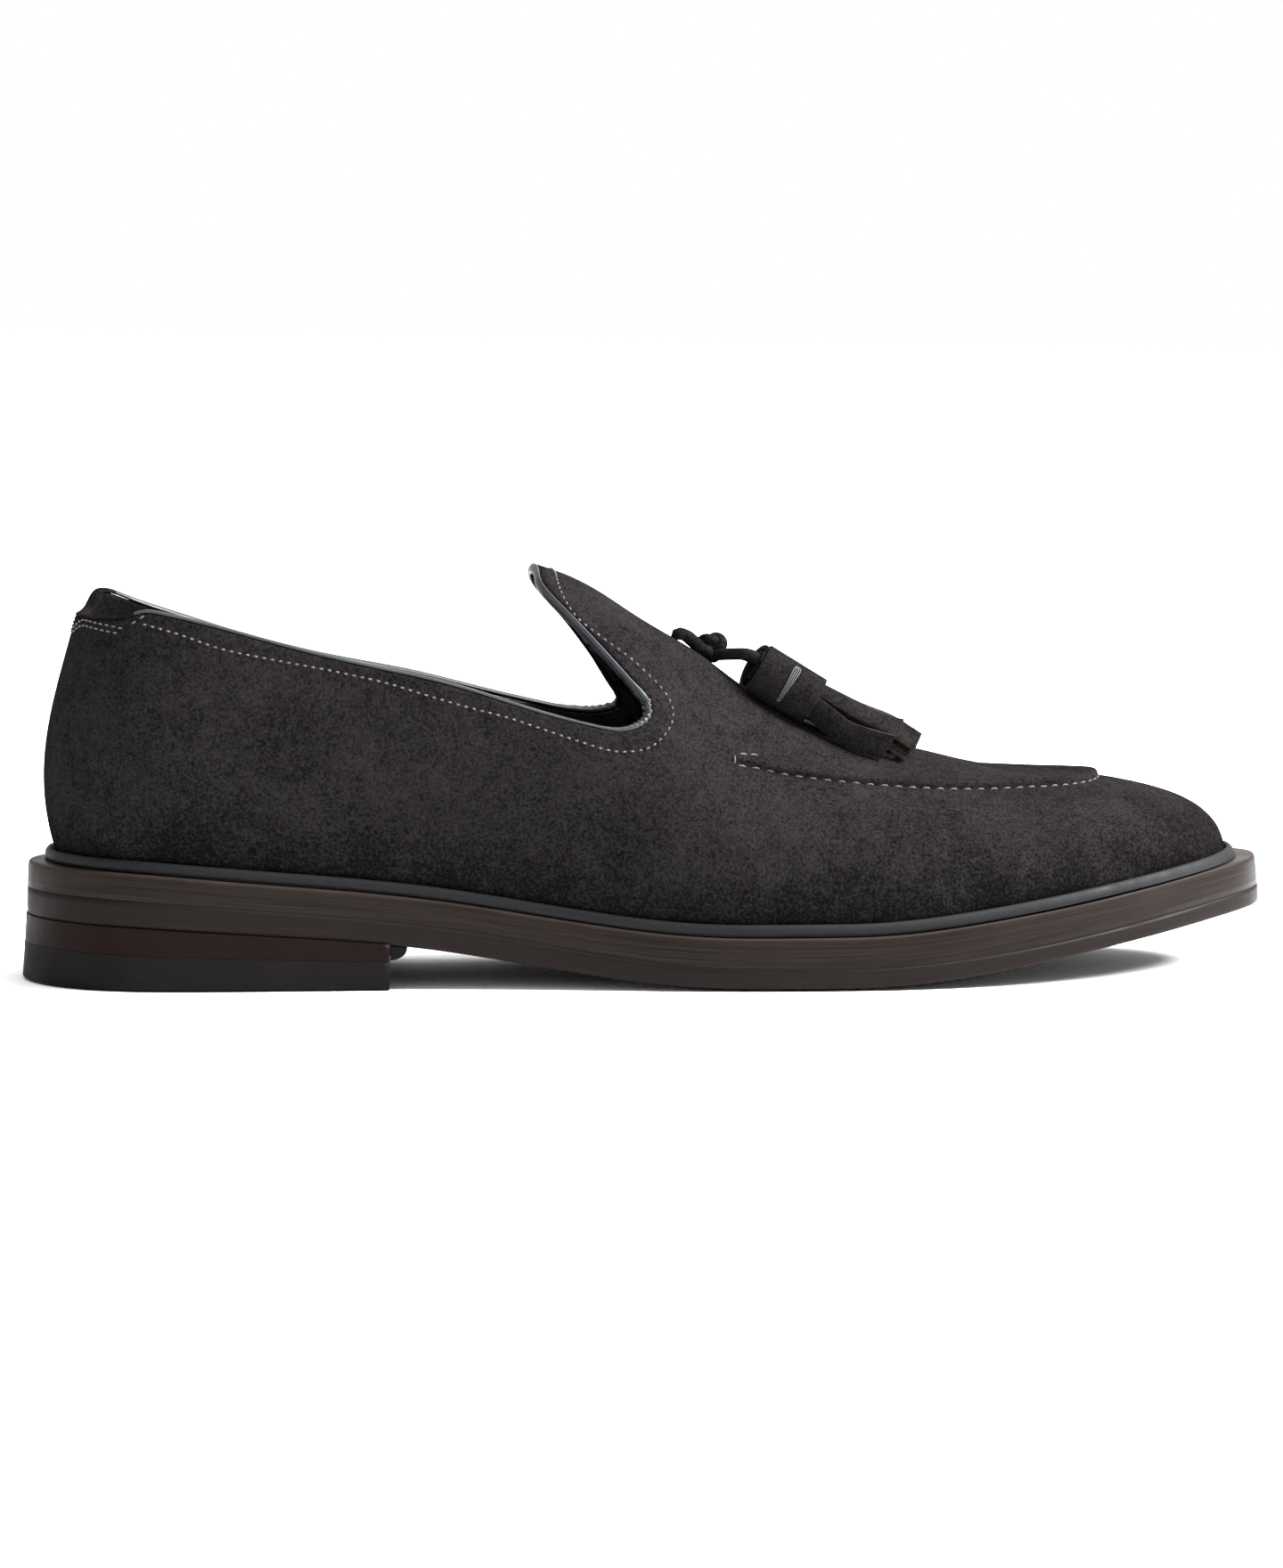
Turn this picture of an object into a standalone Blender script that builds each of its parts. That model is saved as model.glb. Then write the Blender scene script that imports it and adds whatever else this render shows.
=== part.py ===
"""Tassel loafer: one right shoe in suede on a layered sole, as a shoemaker puts it together.

Metres. +X runs to the toe, +Y to the inner side of the foot and +Z up. The origin is the middle of the
heel's flat underside. Every length in a table is a share of the named size that its heading gives.
"""

import math

import bmesh
import bpy
import numpy as np
from mathutils import Vector
from mathutils.bvhtree import BVHTree

# Driving sizes of the shoe
SOLE_LENGTH = 0.311
BALL_WIDTH = 0.1075
INSTEP_RISE = 0.084
HEEL_RISE = 0.0155
TOE_SPRING = 0.0149
HEEL_LENGTH = 0.0845
BREAST_SLANT = 0.0085
HEEL_FLARE = 0.0010
COVE_LENGTH = 0.0042
COVE_INSET = 0.0035
COVE_HEIGHT = 0.0034
HEEL_CENTRE = 0.042
GAP = 0.0003

# The upper and what is bound or laid to it
WALL = 0.0024
LOWER_FULLNESS = 1.16
UPPER_FULLNESS = 1.08
INSOLE_THICKNESS = 0.0035
BINDING_HEIGHT = 0.0008
NOTCH_DEPTH = 0.0047
NOTCH_OUTER = 0.0200
NOTCH_INNER = 0.0125
NOTCH_RAMP = 0.0038
THROAT_ROUND = 0.0092
LIP_HEIGHT = 0.0017
LIP_WIDTH = 0.0044
LIP_LEAD = 0.004

# The sole and heel
MIDSOLE_THICKNESS = 0.0076
OUTSOLE_THICKNESS = 0.0056
RIM_ROUND = 0.0009
EDGE_ROUND = 0.0006
RAND_HEIGHT = 0.0027
RAND_THICKNESS = 0.0021
RAND_ROUND = 0.0008
TOP_PIECE_BACK = 0.0092
TOP_PIECE_BREAST = 0.0067

# The tassels and the thong that carries them
HEAD_LENGTH = 0.0172
HEAD_RADIUS = 0.0061
HEAD_TAPER = 0.95
STRIP_LENGTH = 0.0270
STRIP_WIDTH = 0.0068
STRIP_THICKNESS = 0.0013
STRIP_ROOT = 0.0060
TIPS_LIFT = 0.0016
THONG_RADIUS = 0.00165
KNOT_RADIUS = 0.0037

# Sections of the last, from the middle of the heel's back to the tip of the toe. x is a share of
# SOLE_LENGTH, out and in are shares of half BALL_WIDTH, rise is a share of INSTEP_RISE and leans are
# degrees inwards from upright. The feather is the upper's bottom edge. The rail is the upper's second
# guide line: it runs a little above the topline, and then along the apron's seam.
SECTION_NAMES = ("feather_x", "feather_out", "feather_in", "rail_x", "rail_out", "rail_in",
                 "rail_rise", "feather_lean", "rail_lean")
SECTIONS = (
    (0.0258, 0.000, 0.000, 0.0460, 0.000, 0.000, 0.786, -20, 13),
    (0.0320, 0.215, 0.215, 0.0505, 0.165, 0.165, 0.785, -20, 13),
    (0.0520, 0.402, 0.402, 0.0630, 0.310, 0.310, 0.777, -20, 13),
    (0.0870, 0.520, 0.520, 0.0875, 0.418, 0.418, 0.768, -20, 13),
    (0.1350, 0.570, 0.568, 0.1260, 0.482, 0.480, 0.756, -19, 13),
    (0.1935, 0.597, 0.578, 0.1800, 0.528, 0.520, 0.738, -17, 14),
    (0.2580, 0.618, 0.560, 0.2420, 0.570, 0.556, 0.719, -16, 15),
    (0.3225, 0.654, 0.530, 0.3030, 0.605, 0.588, 0.710, -15, 17),
    (0.3806, 0.698, 0.512, 0.3580, 0.632, 0.612, 0.704, -14, 19),
    (0.4323, 0.756, 0.534, 0.4065, 0.650, 0.632, 0.692, -14, 22),
    (0.4710, 0.808, 0.590, 0.4450, 0.660, 0.645, 0.668, -14, 24),
    (0.5129, 0.860, 0.660, 0.4850, 0.664, 0.655, 0.627, -14, 27),
    (0.5419, 0.896, 0.712, 0.5110, 0.664, 0.664, 0.564, -14, 31),
    (0.5742, 0.922, 0.758, 0.5419, 0.658, 0.664, 0.494, -14, 36),
    (0.6129, 0.940, 0.800, 0.5806, 0.644, 0.660, 0.450, -14, 42),
    (0.6548, 0.944, 0.834, 0.6226, 0.620, 0.650, 0.424, -14, 47),
    (0.6968, 0.932, 0.852, 0.6645, 0.590, 0.630, 0.393, -14, 52),
    (0.7387, 0.898, 0.852, 0.7065, 0.550, 0.600, 0.361, -14, 57),
    (0.7839, 0.842, 0.830, 0.7452, 0.498, 0.560, 0.330, -13, 62),
    (0.8290, 0.754, 0.776, 0.7839, 0.428, 0.504, 0.305, -12, 66),
    (0.8742, 0.630, 0.690, 0.8177, 0.332, 0.426, 0.278, -10, 70),
    (0.9150, 0.475, 0.575, 0.8435, 0.214, 0.330, 0.258, -8, 74),
    (0.9500, 0.265, 0.415, 0.8590, 0.076, 0.206, 0.245, -6, 78),
    (0.9715, -0.080, 0.080, 0.8650, -0.068, 0.068, 0.240, -4, 80),
)
# Rows at which each side's topline has its foremost point, and the row that the ridge's table starts at
THROAT_OUT = 10.81
THROAT_IN = 11.30
RIDGE_ROW = 11
# Row at which the apron's seam starts
SEAM_ROW = 13.0
# Where each section of the vamp reaches the ridge, from RIDGE_ROW on, as shares of SOLE_LENGTH
RIDGE_ENDS = (0.335, 0.400, 0.455, 0.510, 0.561, 0.611, 0.658, 0.700, 0.737, 0.765, 0.782, 0.7935, 0.797)
# The ridge: x, rise above the sole, and sideways shift as a share of half BALL_WIDTH
RIDGE = (
    (0.335, 1.012, 0.000), (0.406, 0.998, 0.002), (0.434, 0.979, 0.006), (0.463, 0.929, 0.010),
    (0.491, 0.871, 0.014), (0.517, 0.826, 0.018), (0.538, 0.777, 0.022), (0.566, 0.692, 0.028),
    (0.594, 0.627, 0.034), (0.623, 0.578, 0.038), (0.659, 0.529, 0.044), (0.696, 0.486, 0.050),
    (0.726, 0.448, 0.054), (0.755, 0.402, 0.058), (0.800, 0.338, 0.062), (0.844, 0.286, 0.066),
)
# The topline along the quarters: x and rise above the sole on the outer and the inner side, up to where
# the throat's round starts
TOPLINE = (
    (0.0460, 0.763, 0.763), (0.0680, 0.765, 0.773), (0.0913, 0.744, 0.744), (0.1200, 0.728, 0.719),
    (0.1561, 0.705, 0.685), (0.2116, 0.665, 0.641), (0.2639, 0.639, 0.613), (0.3270, 0.615, 0.597),
    (0.3700, 0.588, 0.579), (0.4050, 0.570, 0.568), (0.4370, 0.560, 0.559), (0.4520, 0.558, 0.557),
    (0.4700, 0.560, 0.558),
)
# The tongue's edge: rise above the sole at the throat, and x on the outer and the inner side
TONGUE_EDGE = (
    (0.625, 0.4771, 0.4935), (0.662, 0.4775, 0.4920), (0.712, 0.4665, 0.4800), (0.757, 0.4455, 0.4625),
    (0.810, 0.4218, 0.4435), (0.866, 0.3995, 0.4260), (0.931, 0.3915, 0.4120), (0.986, 0.4000, 0.4070),
    (1.030, 0.4060, 0.4060),
)
# The sole's outline: x, then out and in as shares of half BALL_WIDTH
OUTLINE = (
    (0.0012, 0.000, 0.000), (0.013, 0.285, 0.285), (0.043, 0.500, 0.500), (0.088, 0.622, 0.622),
    (0.145, 0.668, 0.665), (0.205, 0.688, 0.672), (0.268, 0.706, 0.645), (0.332, 0.740, 0.600),
    (0.392, 0.790, 0.578), (0.448, 0.862, 0.620), (0.502, 0.935, 0.715), (0.556, 0.988, 0.806),
    (0.610, 1.018, 0.878), (0.664, 1.022, 0.926), (0.716, 0.996, 0.946), (0.768, 0.938, 0.934),
    (0.818, 0.850, 0.888), (0.866, 0.732, 0.812), (0.910, 0.586, 0.702), (0.948, 0.420, 0.570),
    (0.978, 0.250, 0.424), (0.994, 0.075, 0.265), (1.000, -0.092, 0.092),
)
# The sole from the side: x, height under the outsole as a share of HEEL_RISE and of TOE_SPRING, and
# the outsole's and midsole's thickness as shares of OUTSOLE_THICKNESS and MIDSOLE_THICKNESS
SOLE_SIDE = (
    (0.000, 1.000, 0.000, 1.25, 0.85), (0.070, 0.955, 0.000, 1.25, 0.86),
    (0.140, 0.870, 0.000, 1.21, 0.83),
    (0.262, 0.700, 0.000, 1.07, 0.84), (0.310, 0.592, 0.000, 1.04, 0.84), (0.363, 0.418, 0.000, 1.03, 0.85),
    (0.413, 0.248, 0.000, 1.02, 0.88), (0.475, 0.070, 0.000, 0.99, 0.94), (0.520, 0.006, 0.000, 0.96, 0.98),
    (0.560, 0.000, 0.000, 0.95, 0.99), (0.600, 0.000, 0.000, 0.95, 1.00), (0.635, 0.000, 0.000, 0.94, 1.01),
    (0.662, 0.000, 0.020, 0.93, 1.02), (0.730, 0.000, 0.170, 0.86, 1.05), (0.825, 0.000, 0.478, 0.78, 1.06),
    (0.920, 0.000, 0.790, 0.80, 1.03), (0.970, 0.000, 0.935, 0.82, 1.00), (1.000, 0.000, 1.000, 0.84, 0.98),
)
# Strips of one tassel: turn about its axis at the band and at the tip, in degrees from the top towards
# the shoe's side, distance from the axis as a share of HEAD_RADIUS, where the tip lies beside and above
# the axis and how long it is, as shares of STRIP_LENGTH
STRIPS = (
    (22, 34, 0.67, 0.03, 0.155, 1.00), (109, 97, 0.67, 0.25, -0.160, 0.86),
    (197, 186, 0.67, -0.03, -0.125, 0.93), (284, 302, 0.67, -0.20, 0.030, 0.96),
    (58, 30, 0.43, 0.00, 0.088, 0.99), (238, 214, 0.43, -0.09, -0.040, 0.95),
    (345, 384, 0.22, 0.02, 0.020, 0.97),
)
# Where the thong leaves the vamp and where its knot lies, along the shoe as shares of SOLE_LENGTH
THONG_HOLE = 0.5195
KNOT_PLACE = 0.5470
# Each tassel: the rolled end's x and y, then the tips' x and y, as shares of SOLE_LENGTH and of half
# BALL_WIDTH, outer side first
TASSELS = (
    ("tassel_outer", 0.5740, -0.222, 0.7130, -0.345),
    ("tassel_inner", 0.5840, 0.160, 0.7150, 0.300),
)

for leftover in list(bpy.data.objects):
    bpy.data.objects.remove(leftover)
shoe = bpy.data.collections.new("tassel_loafer")
bpy.context.scene.collection.children.link(shoe)


def material(name, colour, roughness):
    """A plain Principled material in the piece's own colour."""
    made = bpy.data.materials.new(name)
    made.use_nodes = True
    shader = made.node_tree.nodes["Principled BSDF"]
    shader.inputs["Base Color"].default_value = (*colour, 1.0)
    shader.inputs["Roughness"].default_value = roughness
    shader.inputs["Metallic"].default_value = 0.0
    return made


SUEDE = material("suede", (0.045, 0.038, 0.036), 0.95)
BINDING_LEATHER = material("binding_leather", (0.115, 0.135, 0.150), 0.55)
INSOLE_LEATHER = material("insole_leather", (0.020, 0.020, 0.024), 0.60)
RAND_RUBBER = material("rand_rubber", (0.032, 0.031, 0.035), 0.45)
MIDSOLE_LEATHER = material("midsole_leather", (0.036, 0.028, 0.025), 0.42)
OUTSOLE_RUBBER = material("outsole_rubber", (0.030, 0.025, 0.023), 0.50)
HEEL_LEATHER = material("heel_leather", (0.030, 0.017, 0.014), 0.42)
TOP_PIECE_RUBBER = material("top_piece_rubber", (0.024, 0.021, 0.021), 0.55)


def hermite(start, end, leaving, arriving, t):
    """Cubic from start to end that leaves and arrives along the two given vectors."""
    return (start * (2 * t**3 - 3 * t**2 + 1) + end * (3 * t**2 - 2 * t**3)
            + leaving * (t**3 - 2 * t**2 + t) + arriving * (t**3 - t**2))


def loop_spline(rows):
    """Smooth closed curve through rows of numbers, read at any place counted in rows."""
    rows = np.asarray(rows, float)
    count = len(rows)
    step = np.roll(np.eye(count), 1, axis=0)
    slopes = np.linalg.solve(4 * np.eye(count) + step + step.T,
                             3 * (np.roll(rows, -1, axis=0) - np.roll(rows, 1, axis=0)))

    def read(place):
        place = np.asarray(place, float) % count
        low = np.floor(place).astype(int) % count
        high = (low + 1) % count
        return hermite(rows[low], rows[high], slopes[low], slopes[high], (place % 1.0)[..., None])

    return read


def open_spline(table):
    """Smooth curve through a table whose first column is the place, read at any place inside it."""
    table = np.asarray(table, float)
    at, rows = table[:, 0], table[:, 1:]
    steps = np.diff(at)
    rates = np.diff(rows, axis=0) / steps[:, None]
    system = np.zeros((len(at), len(at)))
    wanted = np.zeros_like(rows)
    for i in range(1, len(at) - 1):
        system[i, i - 1:i + 2] = steps[i], 2 * (steps[i - 1] + steps[i]), steps[i - 1]
        wanted[i] = 3 * (rates[i - 1] * steps[i] + rates[i] * steps[i - 1])
    system[0, :2] = system[-1, -2:] = 2, 1
    system[-1, -2:] = 1, 2
    wanted[0], wanted[-1] = 3 * rates[0], 3 * rates[-1]
    slopes = np.linalg.solve(system, wanted)

    def read(place):
        place = np.clip(np.asarray(place, float), at[0], at[-1])
        low = np.clip(np.searchsorted(at, place, side="right") - 1, 0, len(at) - 2)
        wide = steps[low][..., None]
        t = ((place - at[low]) / steps[low])[..., None]
        return hermite(rows[low], rows[low + 1], slopes[low] * wide, slopes[low + 1] * wide, t)

    return read


def along(share):
    """Place along the shoe, measured from the heel's back as a share of the sole's length."""
    return share * SOLE_LENGTH - HEEL_CENTRE


def share_of(x):
    return (x + HEEL_CENTRE) / SOLE_LENGTH


# The sole's own curves
sole_side = open_spline(SOLE_SIDE)


def sole_levels(share):
    """Heights of the outsole's underside, its top and the midsole's top, at a share of the length."""
    heel, toe, outsole, midsole = np.moveaxis(sole_side(share), -1, 0)
    under = np.maximum(heel, 0) * HEEL_RISE + np.maximum(toe, 0) * TOE_SPRING
    middle = under + outsole * OUTSOLE_THICKNESS
    return under, middle, middle + midsole * MIDSOLE_THICKNESS


def sole_slope(share):
    step = 0.004
    low, high = np.clip(share - step, 0, 1), np.clip(share + step, 0, 1)
    return (sole_levels(high)[0] - sole_levels(low)[0]) / ((high - low) * SOLE_LENGTH)


SAMPLED = np.linspace(0, 1, 241)
TOP_HEIGHTS = sole_levels(SAMPLED)[2]
TOP_PLACES = along(SAMPLED) - sole_slope(SAMPLED) * (TOP_HEIGHTS - sole_levels(SAMPLED)[0])


def sole_top(x):
    """Height of the midsole's top at a place along the shoe. The sole's edges stand square to its curve."""
    return np.interp(x, TOP_PLACES, TOP_HEIGHTS)


def both_sides(rows, out, inner):
    """Closed loop: the rows on the outer side from back to front, then the inner side's back again."""
    outer = [(row[0], -row[out], *row[3:]) for row in rows]
    return outer + [(row[0], row[inner], *row[3:]) for row in rows[-2:0:-1]]


outline_loop = loop_spline(both_sides(OUTLINE, 1, 2))
LAST_OUTLINE_ROW = len(OUTLINE) - 1


def outline_points(places):
    """Plan points of the sole's outline, with its inward normals. Places are rows along the loop."""
    places = np.asarray(places, float)
    step = 0.02
    scale = np.array([SOLE_LENGTH, BALL_WIDTH / 2])
    points = outline_loop(places) * scale - np.array([HEEL_CENTRE, 0])
    run = (outline_loop(places + step) - outline_loop(places - step)) * scale
    run /= np.linalg.norm(run, axis=-1, keepdims=True)
    return points, np.stack([-run[..., 1], run[..., 0]], axis=-1)


# The last's own curves
section_rows = {name: np.array([row[i] for row in SECTIONS]) for i, name in enumerate(SECTION_NAMES)}
TIP_ROW = len(SECTIONS) - 1
LOOP_ROWS = 2 * TIP_ROW


def section_loop():
    """One closed table: feather x and y, rail x, y and rise, and the two leans in radians."""
    half = BALL_WIDTH / 2

    def side(sign, column, order):
        lines = section_rows
        return [(along(lines["feather_x"][i]), sign * lines["feather_" + column][i] * half,
                 along(lines["rail_x"][i]), sign * lines["rail_" + column][i] * half,
                 lines["rail_rise"][i] * INSTEP_RISE,
                 math.radians(lines["feather_lean"][i]), math.radians(lines["rail_lean"][i])) for i in order]

    return loop_spline(side(-1, "out", range(TIP_ROW + 1)) + side(1, "in", range(TIP_ROW - 1, 0, -1)))


last_loop = section_loop()
ridge_line = open_spline(RIDGE)
ridge_end = open_spline([(RIDGE_ROW + i, share) for i, share in enumerate(RIDGE_ENDS)]
                        + [(TIP_ROW + i, RIDGE_ENDS[-1 - i]) for i in (1, 2)])
topline_rise = open_spline(TOPLINE)
tongue_edge = open_spline(TONGUE_EDGE)


def unit(vectors):
    return vectors / np.linalg.norm(vectors, axis=-1, keepdims=True)


def guides(places):
    """Feather and rail points of the last, with their directions along the shoe and up the wall."""
    places = np.asarray(places, float)

    def lines(at):
        row = last_loop(at)
        feather = np.stack([row[..., 0], row[..., 1], sole_top(row[..., 0]) + GAP], axis=-1)
        rail = np.stack([row[..., 2], row[..., 3], feather[..., 2] + row[..., 4]], axis=-1)
        return feather, rail, row[..., 5], row[..., 6]

    step = 0.02
    feather, rail, feather_lean, rail_lean = lines(places)
    ahead, behind = lines(places + step), lines(places - step)
    found = []
    for point, after, before, lean in ((feather, ahead[0], behind[0], feather_lean),
                                       (rail, ahead[1], behind[1], rail_lean)):
        run = unit(after - before)
        inward = unit(np.stack([-run[..., 1], run[..., 0], 0 * run[..., 0]], axis=-1))
        rise = inward * np.sin(lean)[..., None] + np.array([0, 0, 1]) * np.cos(lean)[..., None]
        rise = unit(rise - run * (rise * run).sum(-1, keepdims=True))
        found.append((point, run, rise))
    return found


def leaving(chord, run, rise, fullness):
    """Vector with which a section leaves a guide line: up the wall, and along it as far as the chord does."""
    share_along = (chord * run).sum(-1, keepdims=True)
    across = np.linalg.norm(chord - run * share_along, axis=-1, keepdims=True)
    return rise * across * fullness + run * share_along


def lower_wall(places, t):
    """Points on the last between its feather, t = 0, and its rail, t = 1."""
    (feather, run_f, rise_f), (rail, run_r, rise_r) = guides(places)
    chord = rail - feather
    return hermite(feather, rail, leaving(chord, run_f, rise_f, LOWER_FULLNESS),
                   leaving(chord, run_r, rise_r, LOWER_FULLNESS), np.asarray(t, float)[..., None])


def ridge_point(place):
    """The ridge's point for a place, and the ridge's slope there. Both sides of the last share it."""
    share = ridge_end(np.where(place > TIP_ROW, LOOP_ROWS - place, place))[..., 0]
    step = 0.004

    def height(at):
        return sole_top(along(at)) + ridge_line(at)[..., 0] * INSTEP_RISE

    slope = (height(share + step) - height(share - step)) / (2 * step * SOLE_LENGTH)
    shift = ridge_line(share)[..., 1] * BALL_WIDTH / 2
    return np.stack([along(share), shift, height(share)], axis=-1), slope


def upper_wall(places, t):
    """Points on the last between its rail, t = 0, and its ridge, t = 1."""
    places = np.asarray(places, float)
    rail, run, rise = guides(places)[1]
    ridge, slope = ridge_point(places)
    chord = ridge - rail
    plan = chord[..., :2] / np.maximum(np.linalg.norm(chord[..., :2], axis=-1, keepdims=True), 1e-9)
    over = np.stack([plan[..., 0], plan[..., 1], slope * plan[..., 0]], axis=-1)
    arriving = over * np.linalg.norm(chord, axis=-1, keepdims=True) * UPPER_FULLNESS
    return hermite(rail, ridge, leaving(chord, run, rise, UPPER_FULLNESS), arriving,
                   np.asarray(t, float)[..., None])


def smooth_step(value):
    value = np.clip(value, 0, 1)
    return value * value * (3 - 2 * value)


def first_row(inner):
    """Row of a side's foremost topline point."""
    return THROAT_IN if inner else THROAT_OUT


def on_loop(rows, inner):
    """Places in the closed loop of rows on one side."""
    return LOOP_ROWS - rows if inner else rows


def topline_base(x, inner):
    """Height of a side's topline behind the throat's round."""
    return sole_top(x) + topline_rise(share_of(x))[..., 1 if inner else 0] * INSTEP_RISE


def topline_height(x, y, inner):
    """Height of the quarters' top edge: the topline, the throat's round and the notch at the back."""
    front = guides(on_loop(first_row(inner), inner))[1][0]
    round_start = front[0] - THROAT_ROUND
    part = np.clip((x - round_start) / THROAT_ROUND, 0, 1)
    height = topline_base(np.minimum(x, round_start), inner)
    height = height + (front[2] - topline_base(round_start, inner)) * (1 - np.sqrt(1 - part**2))
    inside = (NOTCH_INNER if inner else NOTCH_OUTER) - np.abs(y)
    at_back = x + HEEL_CENTRE < SOLE_LENGTH / 5
    return height - NOTCH_DEPTH * smooth_step(inside / NOTCH_RAMP + 1) * at_back


def halve(low, high, short):
    """Values between low and high at which short stops holding, found by halving."""
    low, high = np.array(low, float), np.array(high, float)
    for _ in range(40):
        middle = (low + high) / 2
        held = short(middle)
        low, high = np.where(held, middle, low), np.where(held, high, middle)
    return (low + high) / 2


def topline_shares(rows, inner):
    """Shares of the lower wall's height at which the topline cuts it."""
    def below(shares):
        points = lower_wall(on_loop(rows, inner), shares)
        return points[:, 2] < topline_height(points[:, 0], points[:, 1], inner)

    return halve(np.full(len(rows), 0.3), np.ones(len(rows)), below)


def tongue_starts(shares, inner):
    """Rows at which the tongue's edge cuts lines of the upper wall."""
    base = sole_top(guides(THROAT_OUT)[1][0][0])

    def behind(rows):
        points = upper_wall(on_loop(rows, inner), shares)
        return points[:, 0] < along(tongue_edge((points[:, 2] - base) / INSTEP_RISE)[:, 1 if inner else 0])

    first = np.full(len(shares), float(first_row(inner)))
    return halve(first, first + 2.5, behind)


def lip_rise(distance):
    """Height of the apron's rolled lip at a distance from its seam."""
    across = np.clip(distance / LIP_WIDTH, 0, 1)
    return LIP_HEIGHT * np.sin(math.pi * across**0.55) ** 0.8


# Rows and columns of the upper's net
LOWER_ROWS = np.array([0, 0.10, 0.24, 0.40, 0.56, 0.72, 0.86, 0.95, 1.0])
LIP_ROWS = np.array([0.06, 0.22, 0.5, 0.8, 1.1])
UPPER_ROWS = np.array([0.30, 0.46, 0.63, 0.81, 1.0])
VAMP_SHARES = np.concatenate([np.linspace(0, 0.62, 15), np.linspace(0.62, 1, 12)[1:]])


def quarter_columns(ramp_end, last):
    """Rows of the quarter's sections, closer together at the notch's ramp and the throat's round."""
    rows = np.linspace(0, 6, 601)
    widths = np.abs(last_loop(rows)[:, 3])
    ramp = [np.interp(ramp_end + NOTCH_RAMP * share, widths, rows) for share in (0, 0.35, 0.7, 1.0)]
    plain = np.arange(0, ramp[0] - 0.3, 0.45)
    sides = np.arange(ramp[-1] + 0.5, last - 1.6, 0.6)
    throat = last - np.array([1.45, 1.1, 0.8, 0.55, 0.35, 0.2, 0.1, 0.04, 0.0])
    return np.concatenate([plain, ramp, sides, throat])


def upper_net(inner):
    """Grids of points and lip heights on one side of the last: the quarter, then the vamp."""
    first = first_row(inner)
    rows = quarter_columns(NOTCH_INNER if inner else NOTCH_OUTER, first)
    tops = topline_shares(rows, inner)
    tops[-1] = 1.0
    quarter = np.stack([lower_wall(on_loop(rows, inner), level * tops) for level in LOWER_ROWS])
    rows = first + (TIP_ROW - first) * VAMP_SHARES
    places = on_loop(rows, inner)
    front = np.stack([lower_wall(places, np.full(len(places), level)) for level in LOWER_ROWS])
    rail = guides(places)[1][0]
    chords = np.linalg.norm(ridge_point(places)[0] - rail, axis=1)
    lead = np.linalg.norm(rail - guides(on_loop(SEAM_ROW, inner))[1][0], axis=1)
    lead = np.where(rows < SEAM_ROW, 0, smooth_step(lead / LIP_LEAD))
    lines, lips = [], []
    for lip, share in [(r, None) for r in LIP_ROWS] + [(None, r) for r in UPPER_ROWS]:
        t = lip * LIP_WIDTH / chords if share is None else np.full(len(chords), share)
        start = tongue_starts(t, inner)
        lines.append(upper_wall(on_loop(start + (TIP_ROW - start) * VAMP_SHARES, inner), t))
        lips.append(lip_rise(lip * LIP_WIDTH) * lead if share is None else 0 * chords)
    vamp = np.concatenate([front, np.stack(lines)])
    lips = np.concatenate([np.zeros(front.shape[:2]), np.stack(lips)])
    return [(quarter, np.zeros(quarter.shape[:2])), (vamp, lips)]


def weld(grids):
    """One net from several grids: unique points, their extra values, and faces that turn outwards."""
    index, points, extras, faces = {}, [], [], []

    def number(point, extra):
        key = tuple(np.round(point * 2e5).astype(int))
        if key not in index:
            index[key] = len(points)
            points.append(point)
            extras.append(extra)
        return index[key]

    for (grid, extra), flipped in grids:
        ids = [[number(grid[r, c], extra[r, c]) for c in range(grid.shape[1])] for r in range(grid.shape[0])]
        for r in range(len(ids) - 1):
            for c in range(len(ids[0]) - 1):
                face = [ids[r][c], ids[r][c + 1], ids[r + 1][c + 1], ids[r + 1][c]]
                face = [v for i, v in enumerate(face) if v != face[i - 1]]
                if len(set(face)) > 2:
                    faces.append(face[::-1] if flipped else face)
    return np.array(points), np.array(extras), faces


def net_normals(points, faces):
    """Area-weighted normals of a net's points."""
    normals = np.zeros_like(points)
    for face in faces:
        a, b, c = points[face[0]], points[face[1]], points[face[2]]
        d = points[face[-1]]
        area = np.cross(c - a, d - b)
        for v in face:
            normals[v] += area
    return unit(normals)


def open_edges(faces):
    """Directed edges that only one face has, as a map from start to end."""
    edges = {(a, b) for face in faces for a, b in zip(face, face[1:] + face[:1])}
    return {a: b for a, b in edges if (b, a) not in edges}


def new_object(name, points, faces, paint):
    mesh = bpy.data.meshes.new(name)
    mesh.from_pydata([tuple(map(float, p)) for p in points], [], [tuple(map(int, f)) for f in faces])
    mesh.validate()
    mesh.materials.append(paint)
    mesh.shade_smooth()
    mesh.set_sharp_from_angle(angle=math.radians(38))
    made = bpy.data.objects.new(name, mesh)
    shoe.objects.link(made)
    return made


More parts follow.
